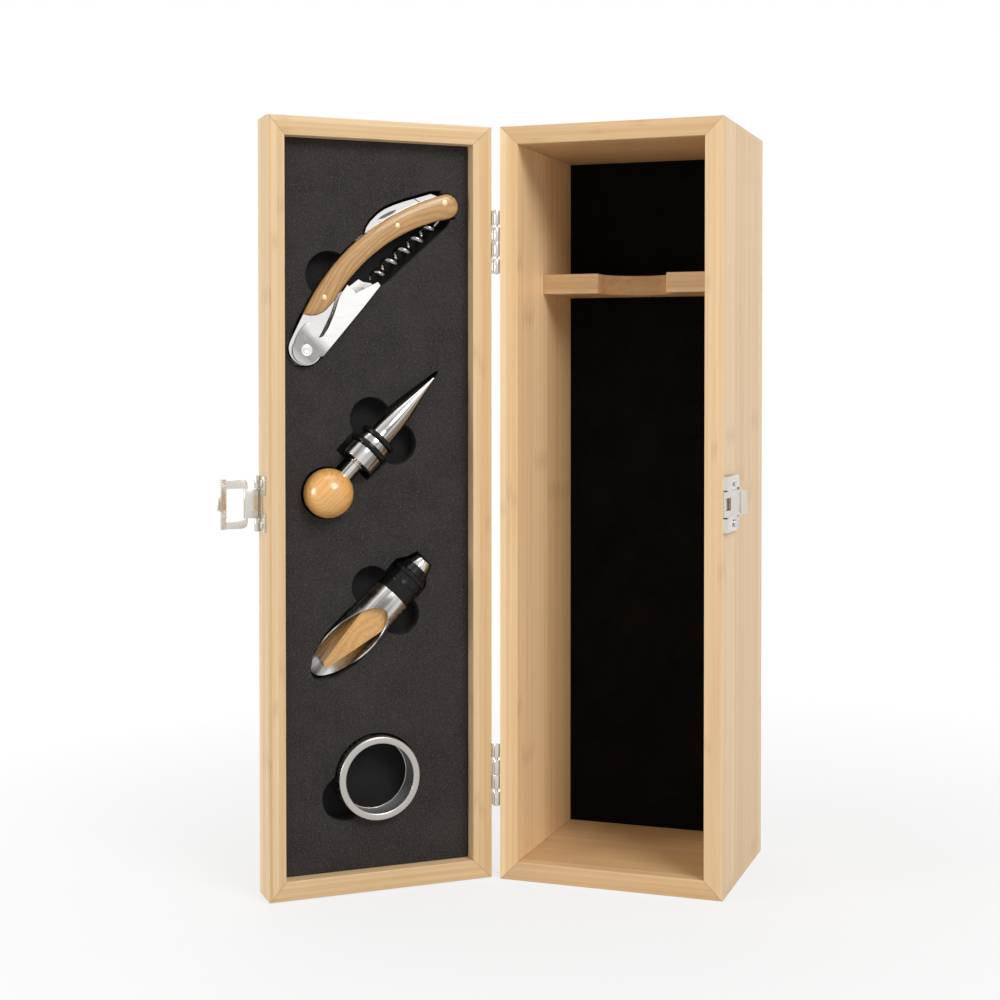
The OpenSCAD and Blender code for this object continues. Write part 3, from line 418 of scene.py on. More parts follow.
def hardwood(name, place, pale, deep, pores, coat, bow=0.0):
    """Hardwood whose grain runs along the X axis of a tool, or bows with its handle."""
    if name in bpy.data.materials:
        return bpy.data.materials[name]
    material, tree, shader, vector = new_material(name)
    split = put(tree, "ShaderNodeSeparateXYZ", None, Vector=placed(tree, vector, place)).outputs
    middle = 0.045
    drop = times(tree, maths(tree, "POWER", maths(tree, "SUBTRACT", split["X"], middle), 2.0), bow)
    vector = put(tree, "ShaderNodeCombineXYZ", None, X=split["X"], Y=plus(tree, split["Y"], drop),
                 Z=split["Z"]).outputs["Vector"]
    group = put(tree, "ShaderNodeGroup", {"node_tree": figure_group()}, Vector=vector, Pale=pale, Deep=deep,
                Pores=pores)
    wire(tree, shader, Base_Color=group.outputs["Color"], Roughness=group.outputs["Roughness"])
    shader.inputs["Coat Weight"].default_value = coat
    shader.inputs["Coat Roughness"].default_value = 0.12
    bump(tree, shader, group.outputs["Height"], 0.2, 0.00006)
    return material


def speckled(name, ground, fleck, scale, amount, depth=0.0001, sheen=0.0, gloss=(0.75, 0.95), shine=0.3):
    if name in bpy.data.materials:
        return bpy.data.materials[name]
    material, tree, shader, vector = new_material(name)
    group = put(tree, "ShaderNodeGroup", {"node_tree": speckle_group()}, Vector=vector, Ground=ground,
                Fleck=fleck, Scale=scale, Amount=amount, Smoothest=gloss[0], Roughest=gloss[1])
    wire(tree, shader, Base_Color=group.outputs["Color"], Roughness=group.outputs["Roughness"])
    shader.inputs["Specular IOR Level"].default_value = shine
    shader.inputs["Sheen Weight"].default_value = sheen
    bump(tree, shader, group.outputs["Height"], 0.4, depth)
    return material


def placed(tree, vector, place):
    """Object coordinates turned and moved into a tool's own frame, in metres."""
    unplaced = place.inverted()
    return put(tree, "ShaderNodeMapping", None, Vector=vector, Location=unplaced.translation * MM,
               Rotation=tuple(unplaced.to_3x3().normalized().to_euler("XYZ"))).outputs["Vector"]


def metal(name, colour, smooth, rough, lines=(500.0, 500.0, 500.0), reflection_streak_place=None, brushed_and_reflection_end=None):
    """Metal with painted shade on its marked walls and edges. Turned metal gets painted reflection streaks
    round its axis, the lever a grey brushed end that is partly painted reflection.
    """
    if name in bpy.data.materials:
        return bpy.data.materials[name]
    material, tree, shader, vector = new_material(name)
    shader.inputs["Metallic"].default_value = 1.0
    group = put(tree, "ShaderNodeGroup", {"node_tree": brushed_group()}, Vector=vector, Smoothest=smooth,
                Roughest=rough, Lines=lines)
    wire(tree, shader, Roughness=group.outputs["Roughness"])
    bump(tree, shader, group.outputs["Height"], 0.15, 0.00001)
    dark = tinted(colour, (0.22, 0.21, 0.20))
    tone = tuple(colour)
    # Painted reflection: light and dark streaks round the axis stand for the studio mirrored in the polished
    # steel.
    if reflection_streak_place:
        split = put(tree, "ShaderNodeSeparateXYZ", None, Vector=placed(tree, vector, reflection_streak_place))
        angle = maths(tree, "ARCTAN2", split.outputs["Z"], split.outputs["Y"])
        around = put(tree, "ShaderNodeCombineXYZ", None, X=maths(tree, "SINE", angle),
                     Y=maths(tree, "COSINE", angle), Z=times(tree, split.outputs["X"], 5.0))
        streaks = noise(tree, around.outputs["Vector"], 2.6, 2.0, 0.5)
        tone = blended(tree, ramp(tree, streaks, 0.40, 0.62, 0.12, 0.95), tone, dark)
    # The lever's round end is darker: partly its grey brushed finish, partly painted reflection.
    if brushed_and_reflection_end:
        local = placed(tree, vector, brushed_and_reflection_end)
        along = put(tree, "ShaderNodeSeparateXYZ", None, Vector=local).outputs["X"]
        brush = noise(tree, stretched(tree, local, (2600.0, 160.0, 160.0)), 1.0, 3.0, 0.6)
        mask = times(tree, ramp(tree, along, -0.0065, -0.002, 0.45, 1.0),
                     ramp(tree, along, 0.0045, 0.0095, 0.88, 0.0))
        tone = blended(tree, times(tree, mask, ramp(tree, brush, 0.3, 0.7, 0.75, 1.0)), tone, dark)
    # Marked walls, edges and the nail nick take the darker colour: painted shade.
    cut = put(tree, "ShaderNodeAttribute", {"attribute_name": "cut"}).outputs["Fac"]
    wire(tree, shader, Base_Color=blended(tree, cut, tone, dark))
    return material


DRAWN = (90.0, 90.0, 3000.0)


def nickel():
    return metal("bright nickel", settings().metal.nickel, 0.12, 0.28, (240.0, 240.0, 700.0))


def polished_steel():
    kit = settings().metal
    return metal("polished steel", kit.steel, kit.gloss * 0.6, kit.gloss * 1.5)


# Steel with painted reflection streaks round the tool's axis.
def reflection_streaked_steel(name, place, gloss=1.0):
    kit = settings().metal
    return metal(name, kit.steel, kit.gloss * 0.8 * gloss, kit.gloss * 2.2 * gloss, reflection_streak_place=place)


def satin_steel():
    return metal("satin steel", settings().metal.steel, 0.24, 0.38, DRAWN)


def frame_steel():
    return metal("frame steel", (0.66, 0.65, 0.64, 1.0), 0.24, 0.4, DRAWN)


# Lever steel whose round end is darker, partly brushed finish and partly painted reflection.
def lever_steel():
    return metal("lever steel", settings().metal.steel, 0.24, 0.38, DRAWN, brushed_and_reflection_end=CORKSCREW)


def ring_steel():
    return metal("ring steel", (0.50, 0.475, 0.45, 1.0), 0.2, 0.36, (90.0, 90.0, 900.0))


def brass():
    return metal("brass", (0.68, 0.50, 0.26, 1.0), 0.18, 0.32)


def dark_steel():
    return metal("dark steel", (0.30, 0.295, 0.29, 1.0), 0.06, 0.14)


def handle_wood():
    return hardwood("handle wood", CORKSCREW, (0.60, 0.35, 0.135, 1), (0.36, 0.185, 0.06, 1), 0.2, 0.3,
                    bow=5.3)


def ball_wood():
    return hardwood("lacquered wood", STOPPER, (0.84, 0.46, 0.14, 1), (0.68, 0.33, 0.085, 1), 0.3, 0.9)


def insert_wood():
    return hardwood("insert wood", POURER, (0.78, 0.45, 0.16, 1), (0.62, 0.32, 0.10, 1), 0.35, 0.3)


def rubber():
    return speckled("black rubber", (0.004, 0.004, 0.004, 1.0), (0.02, 0.02, 0.02, 1.0), 900.0, 0.15, 0.00001,
                    gloss=(0.16, 0.26), shine=0.22)


def felt():
    return speckled("black felt", (0.014, 0.013, 0.013, 1.0), (0.10, 0.095, 0.09, 1.0), 2600.0, 0.45, 0.0002,
                    sheen=0.5)


def foam():
    return speckled("charcoal foam", tuple(settings().foam.colour), (0.105, 0.096, 0.092, 1.0), 2100.0, 0.75,
                    0.00012, shine=0.15)


def black_board():
    return speckled("black board", (0.001, 0.0008, 0.0006, 1.0), (0.02, 0.018, 0.016, 1.0), 1500.0, 0.08,
                    0.00004, shine=0.08)


def backing():
    return speckled("backing sheet", (0.010, 0.009, 0.009, 1.0), (0.03, 0.028, 0.027, 1.0), 1500.0, 0.3)


# ------------------------------------------------------------------ mesh helpers


def merged_copy(node):
    """A copy of a CAD node's mesh, in metres, with its doubles merged and its flat faces joined."""
    bm = bmesh.new()
    bm.from_mesh(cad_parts[node].data)
    bmesh.ops.remove_doubles(bm, verts=bm.verts, dist=2e-6)
    bmesh.ops.dissolve_limit(bm, angle_limit=math.radians(0.4), verts=bm.verts, edges=bm.edges,
                             use_dissolve_boundaries=False)
    return bm


def folded(edge, degrees):
    """Whether an edge folds by more than this angle."""
    return len(edge.link_faces) == 2 and edge.calc_face_angle(0.0) > math.radians(degrees)


def bevelled(bm, edges, width, segments):
    """Bevels the edges; returns the new faces."""
    return bmesh.ops.bevel(bm, geom=edges, offset=width, offset_type="OFFSET", segments=segments, profile=0.5,
                           affect="EDGES", clamp_overlap=True, material=-1)["faces"]


def ease(bm, width, segments=3, degrees=35, wanted=None):
    """Rounds the sharp edges, and shades flat faces flat and curved ones smooth."""
    edges = [e for e in bm.edges if folded(e, degrees) and (wanted is None or wanted(e))]
    rounded = set(bevelled(bm, edges, width, segments))
    for face in bm.faces:
        curved = any(len(e.link_faces) == 2 and math.radians(0.4) < e.calc_face_angle(0.0) < math.radians(14)
                     for e in face.edges)
        face.smooth = face.smooth or face in rounded or curved
    return bm


def arc(middle, radius, angles):
    """Points of an arc about (along, radius), at angles in degrees."""
    return [(middle[0] + radius * math.cos(math.radians(a)), middle[1] + radius * math.sin(math.radians(a)))
            for a in angles]


def smoothed(bm):
    for face in bm.faces:
        face.smooth = True
    return bm


def lathe(profile, steps=96, closed=False):
    """A profile of (along, radius) points, spun about the X axis."""
    bm = bmesh.new()
    points = [bm.verts.new((x, 0.0, r)) for x, r in profile]
    pairs = list(zip(points, points[1:])) + ([(points[-1], points[0])] if closed else [])
    edges = [bm.edges.new(pair) for pair in pairs]
    bmesh.ops.spin(bm, geom=points + edges, cent=(0, 0, 0), axis=(1, 0, 0), dvec=(0, 0, 0),
                   angle=2 * math.pi, steps=steps, use_merge=True)
    bmesh.ops.remove_doubles(bm, verts=bm.verts, dist=1e-4)
    bmesh.ops.recalc_face_normals(bm, faces=bm.faces)
    return smoothed(bm)


def turned(profile, width=0.25, segments=3, steps=96, closed=False, degrees=25):
    """A lathe piece whose corners are rounded."""
    bm = lathe(profile, steps, closed)
    bevelled(bm, [e for e in bm.edges if folded(e, degrees)], width, segments)
    return smoothed(bm)


def rod(low, high, radius, width=0.25, steps=32):
    """A pin along the X axis with rounded ends."""
    return turned([(low, 0.0), (low, radius), (high, radius), (high, 0.0)], width, 3, steps)


def joined(*parts):
    """Several bmeshes as one."""
    whole = bmesh.new()
    for part in parts:
        scrap = bpy.data.meshes.new("scrap")
        part.to_mesh(scrap)
        part.free()
        whole.from_mesh(scrap)
        bpy.data.meshes.remove(scrap)
    return whole


def moved(bm, place):
    bmesh.ops.transform(bm, matrix=place, verts=bm.verts)
    return bm


def painted_shade_walls(bm, place, level, band):
    """Marks the faces of a plate that get painted shade: its stamped walls, and those in a band of heights."""
    layer = bm.faces.layers.float.new("cut")
    across = (place.to_3x3() @ Vector((0, 0, 1))).normalized()
    local = place.inverted()
    for face in bm.faces:
        inside = band[0] < (local @ face.calc_center_median()).z < band[1]
        if inside or abs(face.normal.dot(across)) < level:
            face[layer] = 1.0
    return bm


def placed_object(name, data):
    """A new object in the scene."""
    made = bpy.data.objects.new(name, data)
    bpy.context.scene.collection.objects.link(made)
    return made


def mesh_object(name, bm, material):
    """A new object with the bmesh's faces, all of one material."""
    mesh = bpy.data.meshes.new(name)
    bm.to_mesh(mesh)
    bm.free()
    mesh.materials.append(material)
    return placed_object(name, mesh)


def piece(name, bm, body, slot, material, *nodes):
    """Makes the object, rides it on its body and puts it in the place of CAD nodes."""
    made = mesh_object(name, bm, material)
    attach(made, body)
    if nodes:
        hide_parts(*nodes)
    return made


def sharpened(made, degrees):
    """Keeps the crisp edges of a smooth piece."""
    made.data.set_sharp_from_angle(angle=math.radians(degrees))
    return made


def mitred(edge):
    """Whether an edge belongs to the slanting end of a mitred board."""
    return any(0.2 < abs(face.normal.z) < 0.95 for face in edge.link_faces)


def board(name, node, body, slot, *wood, tone=(1.0, 1.0, 1.0)):
    """A board of its own bamboo, with sanded edges and fine lines at its mitres."""
    bm = merged_copy(node)
    low = [min(v.co[i] for v in bm.verts) for i in range(3)]
    high = [max(v.co[i] for v in bm.verts) for i in range(3)]
    joint = bm.faces.layers.float.new("joint")
    joint_w = 0.17 * MM
    for face in bevelled(bm, [e for e in bm.edges if folded(e, 35) and mitred(e)], joint_w, 1):
        face[joint] = 1.0
    ease(bm, settings().wood.ease * MM, 3, 60, lambda e: not mitred(e))
    for v in bm.verts:
        v.co = [min(max(v.co[i], low[i]), high[i]) for i in range(3)]
    widest_round = 60 * MM * MM
    for face in bm.faces:
        face.smooth = face.smooth and face.calc_area() < widest_round
    return piece(name, bm, body, slot, bamboo("bamboo " + name.replace("_", " "), *wood, tone=tone), node)


# ------------------------------------------------------------------ operators


class SCENE_OT_bottle_box_stage(bpy.types.Operator):
    """Sets the floor, the white room, the lamps and the camera"""

    bl_idname = "scene.bottle_box_stage"
    bl_label = "Stage"

    def execute(self, context):
        scene = context.scene
        light = scene.bottle_box.light
        self.camera(scene)
        self.floor()
        self.room(scene, light.sky)
        for side, (place, size) in LAMPS.items():
            self.lamp(side + " lamp", place, size, getattr(light, side))
        scene.view_settings.view_transform = "Standard"
        return {"FINISHED"}

    def camera(self, scene):
        data = bpy.data.cameras.new("camera")
        data.sensor_width = 36.0
        data.lens = CAMERA_LENS
        data.shift_x, data.shift_y = CAMERA_SHIFT
        data.clip_start = 0.01
        camera = placed_object("camera", data)
        right, up = Vector(CAMERA_RIGHT), Vector(CAMERA_UP)
        view = Matrix((right, up, right.cross(up))).transposed().to_4x4()
        view.translation = Vector(CAMERA_PLACE) * MM
        camera.matrix_world = view
        scene.camera = camera

    def floor(self):
        """A pale floor that takes the shadow, and turns white away from the box."""
        bm = bmesh.new()
        bmesh.ops.create_grid(bm, x_segments=1, y_segments=1, size=6.0)
        material, tree, shader, vector = new_material("pale floor")
        shader.inputs["Base Color"].default_value = (0.70, 0.70, 0.70, 1.0)
        shader.inputs["Roughness"].default_value = 0.7
        shader.inputs["Specular IOR Level"].default_value = 0.1
        distance = put(tree, "ShaderNodeVectorMath", {"operation": "LENGTH"})
        tree.links.new(vector, distance.inputs[0])
        far = ramp(tree, distance.outputs["Value"], 0.15, 0.45, 0.72, 1.0)
        white = put(tree, "ShaderNodeEmission", None, Color=(1, 1, 1, 1), Strength=1.0)
        mixed = tree.nodes.new("ShaderNodeMixShader")
        wire(tree, mixed, Fac=times(tree, far, seen_rays(tree)))
        tree.links.new(shader.outputs["BSDF"], mixed.inputs[1])
        tree.links.new(white.outputs["Emission"], mixed.inputs[2])
        wire(tree, tree.nodes["Material Output"], Surface=mixed.outputs["Shader"])
        mesh_object("floor", bm, material)

    def room(self, scene, strength):
        """A room that lights the box softly, and is white where it is seen."""
        world = bpy.data.worlds.new("white room")
        scene.world = world
        world.use_nodes = True
        tree = world.node_tree
        level = ramp(tree, seen_rays(tree), 0.0, 1.0, strength, 1.0)
        background = tree.nodes["Background"]
        background.inputs["Color"].default_value = (1.0, 1.0, 1.0, 1.0)
        wire(tree, background, Strength=level)

    def lamp(self, name, place, size, power):
        """A round lamp that looks at the middle of the box."""
        data = bpy.data.lights.new(name, "AREA")
        data.shape = "DISK"
        data.size = size
        data.energy = power
        made = placed_object(name, data)
        made.location = place
        aim = Vector((0, 0, BOX_H / 2 * MM)) - made.location
        made.rotation_euler = aim.to_track_quat("-Z", "Y").to_euler()


class OBJECT_OT_bottle_box_carcass(bpy.types.Operator):
    """Makes the mitred boards of the box, its back and the neck shelf"""

    bl_idname = "object.bottle_box_carcass"
    bl_label = "Box Boards"

    def execute(self, context):
        # The left side board's lighter tone is painted light.
        for name, node, place, tone in (("left_side_board", "box_left_side", 0.013, (1.12, 1.10, 1.08)),
                                        ("right_side_board", "box_right_side", 0.071, (1.0, 1.0, 1.02))):
            board(name, node, "box", "bamboo", (place, 0, place), tone=tone)
        # This darker tone on the top, floor and neck shelf boards is painted shade inside the box.
        shaded = (0.86, 0.81, 0.76)
        for name, node, place in (("top_board", "box_top", 0.031), ("floor_board", "box_bottom", 0.047),
                                  ("neck_shelf_board", "neck_shelf", 0.059)):
            board(name, node, "box", "bamboo", (place, 0, place), 0.0, True, tone=shaded)
        board("back_board", "back_panel", "box", "bamboo_panel", (0.02, 0, 0.09))
        lining = merged_copy("back_liner")
        ease(lining, 0.15 * MM, 2)
        piece("lining_board", lining, "box", "black_board", black_board(), "back_liner")
        return {"FINISHED"}


class OBJECT_OT_bottle_box_door(bpy.types.Operator):
    """Makes the door's mitred frame and its outer panel"""

    bl_idname = "object.bottle_box_door"
    bl_label = "Door Boards"

    def execute(self, context):
        for name, node, place in (("door_hinge_upright", "door_hinge_stile", 0.017),
                                  ("door_latch_upright", "door_latch_stile", 0.083)):
            board(name, node, "door", "bamboo", (place, 0, place), OPEN_ANGLE)
        for name, node, place in (("door_top_board", "door_top_rail", 0.039),
                                  ("door_bottom_board", "door_bottom_rail", 0.053)):
            board(name, node, "door", "bamboo", (0, 0, place), OPEN_ANGLE, True)
        board("door_outer_panel", "door_panel", "door", "bamboo_panel", (0.026, 0, 0.03), OPEN_ANGLE)
        piece("tray_backing_sheet", merged_copy("foam_backing"), "door", "black_board", backing(),
              "foam_backing")
        return {"FINISHED"}


class OBJECT_OT_bottle_box_tray(bpy.types.Operator):
    """Makes the foam tray with its soft cut edges"""

    bl_idname = "object.bottle_box_tray"
    bl_label = "Foam Tray"

    def execute(self, context):
        bm = merged_copy("foam_tray")
        ease(bm, context.scene.bottle_box.foam.edge * MM, 3, 60)
        made = piece("cut_foam_tray", bm, "door", "foam", foam(), "foam_tray")
        return {"FINISHED"}


class OBJECT_OT_bottle_box_hinges(bpy.types.Operator):
    """Makes the two butt hinges with their pins and screws"""

    bl_idname = "object.bottle_box_hinges"
    bl_label = "Hinges"

    def execute(self, context):
        for level, z in HINGE_HEIGHTS.items():
            for side in ("box", "door"):
                node = f"{level}_hinge_{side}_leaf"
                bm = merged_copy(node)
                ease(bm, 0.12 * MM, 2)
                piece(f"{level}_{side}_leaf_plate", bm, side, "nickel", nickel(), node)
            pin = moved(rod(-15.2, 15.2, 0.75), ROW @ shift(HINGE.x, HINGE.y, z) @ turn(-90, "Y"))
            piece(f"{level}_hinge_pin_rod", pin, "box", "nickel", nickel(), f"{level}_hinge_pin")
        for node, body in (("hinge_box_screws", "box"), ("hinge_door_screws", "door")):
            bm = merged_copy(node)
            ease(bm, 0.08 * MM, 2, 50)
            piece(node.replace("screws", "screw_heads"), bm, body, "nickel", nickel(), node)
        return {"FINISHED"}


class OBJECT_OT_bottle_box_latch(bpy.types.Operator):
    """Makes the latch on the door and the keeper on the box"""

    bl_idname = "object.bottle_box_latch"
    bl_label = "Latch and Keeper"

    def execute(self, context):
        for name, node, body in (("latch_ears", "latch_base", "door"),
                                 ("latch_link_plate", "latch_link", "latch_link"),
                                 ("latch_hook_frame", "latch_flap", "latch_flap"),
                                 ("keeper_plate", "keeper", "box"),
                                 ("latch_ear_screws", "latch_base_screws", "door"),
                                 ("keeper_plate_screws", "keeper_screws", "box")):
            bm = merged_copy(node)
            ease(bm, 0.1 * MM, 2, 40)
            piece(name, bm, body, "nickel", nickel(), node)
        pin = moved(rod(-12.9, 12.9, 0.5, 0.2, 24), LATCH @ shift(1.75, 0, 3.5) @ turn(90, "Z"))
        piece("latch_pin_rod", pin, "door", "nickel", nickel(), "latch_pin")
        return {"FINISHED"}


class OBJECT_OT_bottle_box_corkscrew(bpy.types.Operator):
    """Makes the folding corkscrew: handle, lever, worm and foil blade"""

    bl_idname = "object.bottle_box_corkscrew"
    bl_label = "Corkscrew"

    def execute(self, context):
        self.handle()
        # The plates' walls and edges are marked for painted shade.
        self.plate("corkscrew_liners", "corkscrew_frame", "corkscrew", "satin_steel", frame_steel(), 0.12)
        self.plate("lever_channel", "corkscrew_lever", "lever", "satin_steel", lever_steel(), 0.28, 0.96)
        # The blade's nail nick lies between these heights and gets painted shade.
        nick = (7.5, 7.95)
        self.plate("foil_blade_plate", "foil_blade", "blade", "polished_steel", polished_steel(), 0.08,
                   band=nick)
        self.rivets()
        self.worm()
        return {"FINISHED"}

    def plate(self, name, node, body, slot, finish, width, level=0.5, band=(0.0, 0.0)):
        """A stamped plate with eased edges and painted shade on its walls."""
        bm = merged_copy(node)
        ease(bm, width * MM, 2, 40)
        if node == "foil_blade":
            self.parting_line(bm)
        painted_shade_walls(bm, CORKSCREW, level, band)
        piece(name, bm, body, slot, finish, node)

    def handle(self):
        for name, node, side in (("front_handle_scale", "corkscrew_front_scale", 1),
                                 ("back_handle_scale", "corkscrew_back_scale", -1)):
            made = piece(name, moved(self.scale(node, side), CORKSCREW), "corkscrew", "handle_wood",
                         handle_wood(), node)
            sharpened(made, 50)

    def parting_line(self, bm):
        """Sinks the fine line between the blade and its tang."""
        cuts = [CORKSCREW @ Vector((x, 9.0, 8.0)) for x in (88.0, 88.5)]
        along = (CORKSCREW.to_3x3() @ Vector((1.0, 0.25, 0.0))).normalized()
        for at in cuts:
            bmesh.ops.bisect_plane(bm, geom=bm.verts[:] + bm.edges[:] + bm.faces[:], dist=1e-6, plane_co=at,
                                   plane_no=along)
        local = CORKSCREW.inverted()
        down = (CORKSCREW.to_3x3() @ Vector((0, 0, -1))).normalized() * 0.25 * MM
        reach = (cuts[1] - cuts[0]).dot(along)
        line = [f for f in bm.faces if f.normal.dot(down) < 0 and (local @ f.calc_center_median()).z > 8.0
                and 0 < (f.calc_center_median() - cuts[0]).dot(along) < reach]
        sunk = bmesh.ops.extrude_face_region(bm, geom=line)["geom"]
        bmesh.ops.translate(bm, vec=down, verts=[v for v in sunk if isinstance(v, bmesh.types.BMVert)])
        bmesh.ops.delete(bm, geom=line, context="FACES_ONLY")

    def scale(self, node, side):
        """A handle scale, rounded over from the outline of its solid."""
        solid = bmesh.new()
        solid.from_mesh(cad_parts[node].data)
        bmesh.ops.remove_doubles(solid, verts=solid.verts, dist=2e-6)
        moved(solid, CORKSCREW.inverted())
        low, high = min(v.co.z for v in solid.verts), max(v.co.z for v in solid.verts)
        face, base = (high, low) if side > 0 else (low, high)
        rim = [(e.verts[0].co.xy, e.verts[1].co.xy) for e in solid.edges
               if folded(e, 60) and all(abs(v.co.z - face) < 0.01 for v in e.verts)
               and all((e.verts[0].co.xy - Vector(hole)).length > 2.0 for hole in (*HANDLE_RIVETS, WORM_PIN))]
        solid.free()
        first, last = min(p.x for e in rim for p in e), max(p.x for e in rim for p in e)
        rounding, edge_share = 4.4, 0.35
        bm = bmesh.new()
        bmesh.ops.create_grid(bm, x_segments=72, y_segments=14, size=1.0)
        for vert in bm.verts:
            x = first + (last - first) * (1 - math.cos(math.pi * (vert.co.x + 1) / 2)) / 2
            x = min(max(x, first + 0.001), last - 0.001)
            ends = [a.y + (b.y - a.y) * (x - a.x) / (b.x - a.x) for a, b in rim if (a.x - x) * (b.x - x) < 0]
            share = 0.5 + 0.5 * math.sin(math.pi * vert.co.y / 2)
            point = Vector((x, min(ends) + (max(ends) - min(ends)) * share))
            inset = min((geometry.intersect_point_line(point, a, b)[0] - point).length for a, b in rim
                        if -0.1 < geometry.intersect_point_line(point, a, b)[1] < 1.1)
            rise = math.sqrt(1 - (1 - min(inset / rounding, 1.0)) ** 2)
            vert.co = (point.x, point.y, base + (face - base) * (edge_share + (1 - edge_share) * rise))
        bmesh.ops.remove_doubles(bm, verts=bm.verts, dist=0.01)
        border = [e for e in bm.edges if e.is_boundary]
        walls = bmesh.ops.extrude_edge_only(bm, edges=border)["geom"]
        for vert in walls:
            if isinstance(vert, bmesh.types.BMVert):
                vert.co.z = base
        bmesh.ops.holes_fill(bm, edges=[e for e in bm.edges if e.is_boundary], sides=0)
        bmesh.ops.recalc_face_normals(bm, faces=bm.faces)
        return smoothed(bm)

    def rivets(self):
        """The pins through the handle, 0.1 mm proud at both ends, and the lever's ringed pivot."""
        low, high = -0.1, HANDLE_T + 0.1
        heads = joined(*[moved(rod(low, high, 1.2), CORKSCREW @ shift(x, y) @ turn(-90, "Y"))
                         for x, y in HANDLE_RIVETS])
        piece("brass_rivets", heads, "corkscrew", "brass", brass(), "handle_rivets")
        far = moved(rod(low, high, 1.4), CORKSCREW @ shift(*WORM_PIN) @ turn(-90, "Y"))
        piece("brass_worm_pin", far, "corkscrew", "brass", brass(), "worm_pin")
        near = turned([(-0.25, 0.0), (-0.25, 2.4), (-0.05, 2.4), (-0.05, 1.5), (12.05, 1.5), (12.05, 2.7),
                       (12.35, 2.6), (12.35, 2.25), (12.1, 2.1), (12.1, 1.75), (12.5, 1.6), (12.5, 1.1),
                       (12.2, 0.85), (12.15, 0.0)], 0.06, 2, 64)
        piece("lever_pivot", moved(near, CORKSCREW @ turn(-90, "Y")), "corkscrew", "satin_steel",
              satin_steel(), "lever_rivet")

    def worm(self):
        """The worm's wire, wound from its shank to its point, with its eye round the pin."""
        top, tip = Vector((86.5, -4.4)), Vector((45.4, 0.1))
        along = (tip - top).normalized()
        side = Vector((along.y, -along.x))
        turns, steps, coil_r, wire_r, height = 5, 120, 2.6, 1.15, 5.85
        spiral = []
        for i in range(steps + 1):
            angle = -math.radians(135) - 2 * math.pi * turns * i / steps
            taper = min(1.0, (steps - i + 1.2) / 20)
            r = coil_r * min(1.0, (i + 2) / 12) * (0.35 + 0.65 * taper)
            at = top + along * ((tip - top).length * i / steps) + side * (r * math.cos(angle))
            spiral.append(((at.x, at.y, height + r * math.sin(angle)), max(taper, 0.08)))
        shank = [(93.8, -0.2), (91.0, -2.4), (89.0, spiral[0][0][1] + 0.1)]
        path = [((x, y, height), 1.0) for x, y in shank] + spiral
        curve = bpy.data.curves.new("worm", "CURVE")
        curve.dimensions = "3D"
        curve.bevel_depth = wire_r
        curve.bevel_resolution = 4
        curve.use_fill_caps = True
        spline = curve.splines.new("POLY")
        spline.points.add(len(path) - 1)
        for point, (place, radius) in zip(spline.points, path):
            point.co = (*place, 1.0)
            point.radius = radius
        scrap = placed_object("worm", curve)
        coil = bmesh.new()
        coil.from_mesh(scrap.to_mesh())
        scrap.to_mesh_clear()
        bpy.data.objects.remove(scrap)
        eye = turned([(4.7, 1.45), (4.7, 2.9), (7.0, 2.9), (7.0, 1.45)], 0.3, 3, 48, True)
        whole = joined(smoothed(coil), moved(eye, shift(*WORM_PIN) @ turn(-90, "Y")))
        piece("worm_wire", moved(whole, CORKSCREW), "worm", "dark_steel", dark_steel(), "corkscrew_worm")


class OBJECT_OT_bottle_box_stopper(bpy.types.Operator):
    """Makes the bottle stopper: ball, steel body and rubber rings"""

    bl_idname = "object.bottle_box_stopper"
    bl_label = "Bottle Stopper"

    def execute(self, context):
        outline = arc((0.0, 0.0), 11.45, range(180, 16, -4)) + [(10.95, 3.35), (8.4, 3.35), (8.4, 0.0)]
        ball = moved(lathe(outline, 128), STOPPER)
        sharpened(piece("stopper_ball_knob", ball, "stopper", "ball_wood", ball_wood(), "stopper_ball"), 30)
        neck = [(8.2, 0.0), (8.2, 3.4), (17.6, 3.4), (17.9, 4.0), (18.5, 4.0)]
        collars = [(19.0, 8.1), (19.4, 8.5), (26.1, 8.5), (26.15, 7.2), (29.05, 7.2), (29.05, 8.3),
                   (32.2, 8.0), (32.25, 6.25), (35.3, 6.25), (35.3, 5.9)]
        cone = [(39.0, 5.75), (44.0, 5.3), (50.0, 4.5), (56.0, 3.35), (62.0, 2.25), (68.0, 1.2), (73.1, 0.4),
                (73.5, 0.0)]
        body = turned(neck + collars + cone, 0.14, degrees=30)
        made = piece("stopper_steel_body", moved(body, STOPPER), "stopper", "polished_steel",
                     reflection_streaked_steel("stopper steel", STOPPER), "stopper_body")
        sharpened(made, 40)
        rings = joined(*[lathe(arc(middle, 1.2, range(0, 360, 15)), 96, True)
                         for middle in ((27.6, 8.85), (33.7, 7.9))])
        piece("stopper_seals", moved(rings, STOPPER), "stopper", "rubber", rubber(), "stopper_rings")
        return {"FINISHED"}


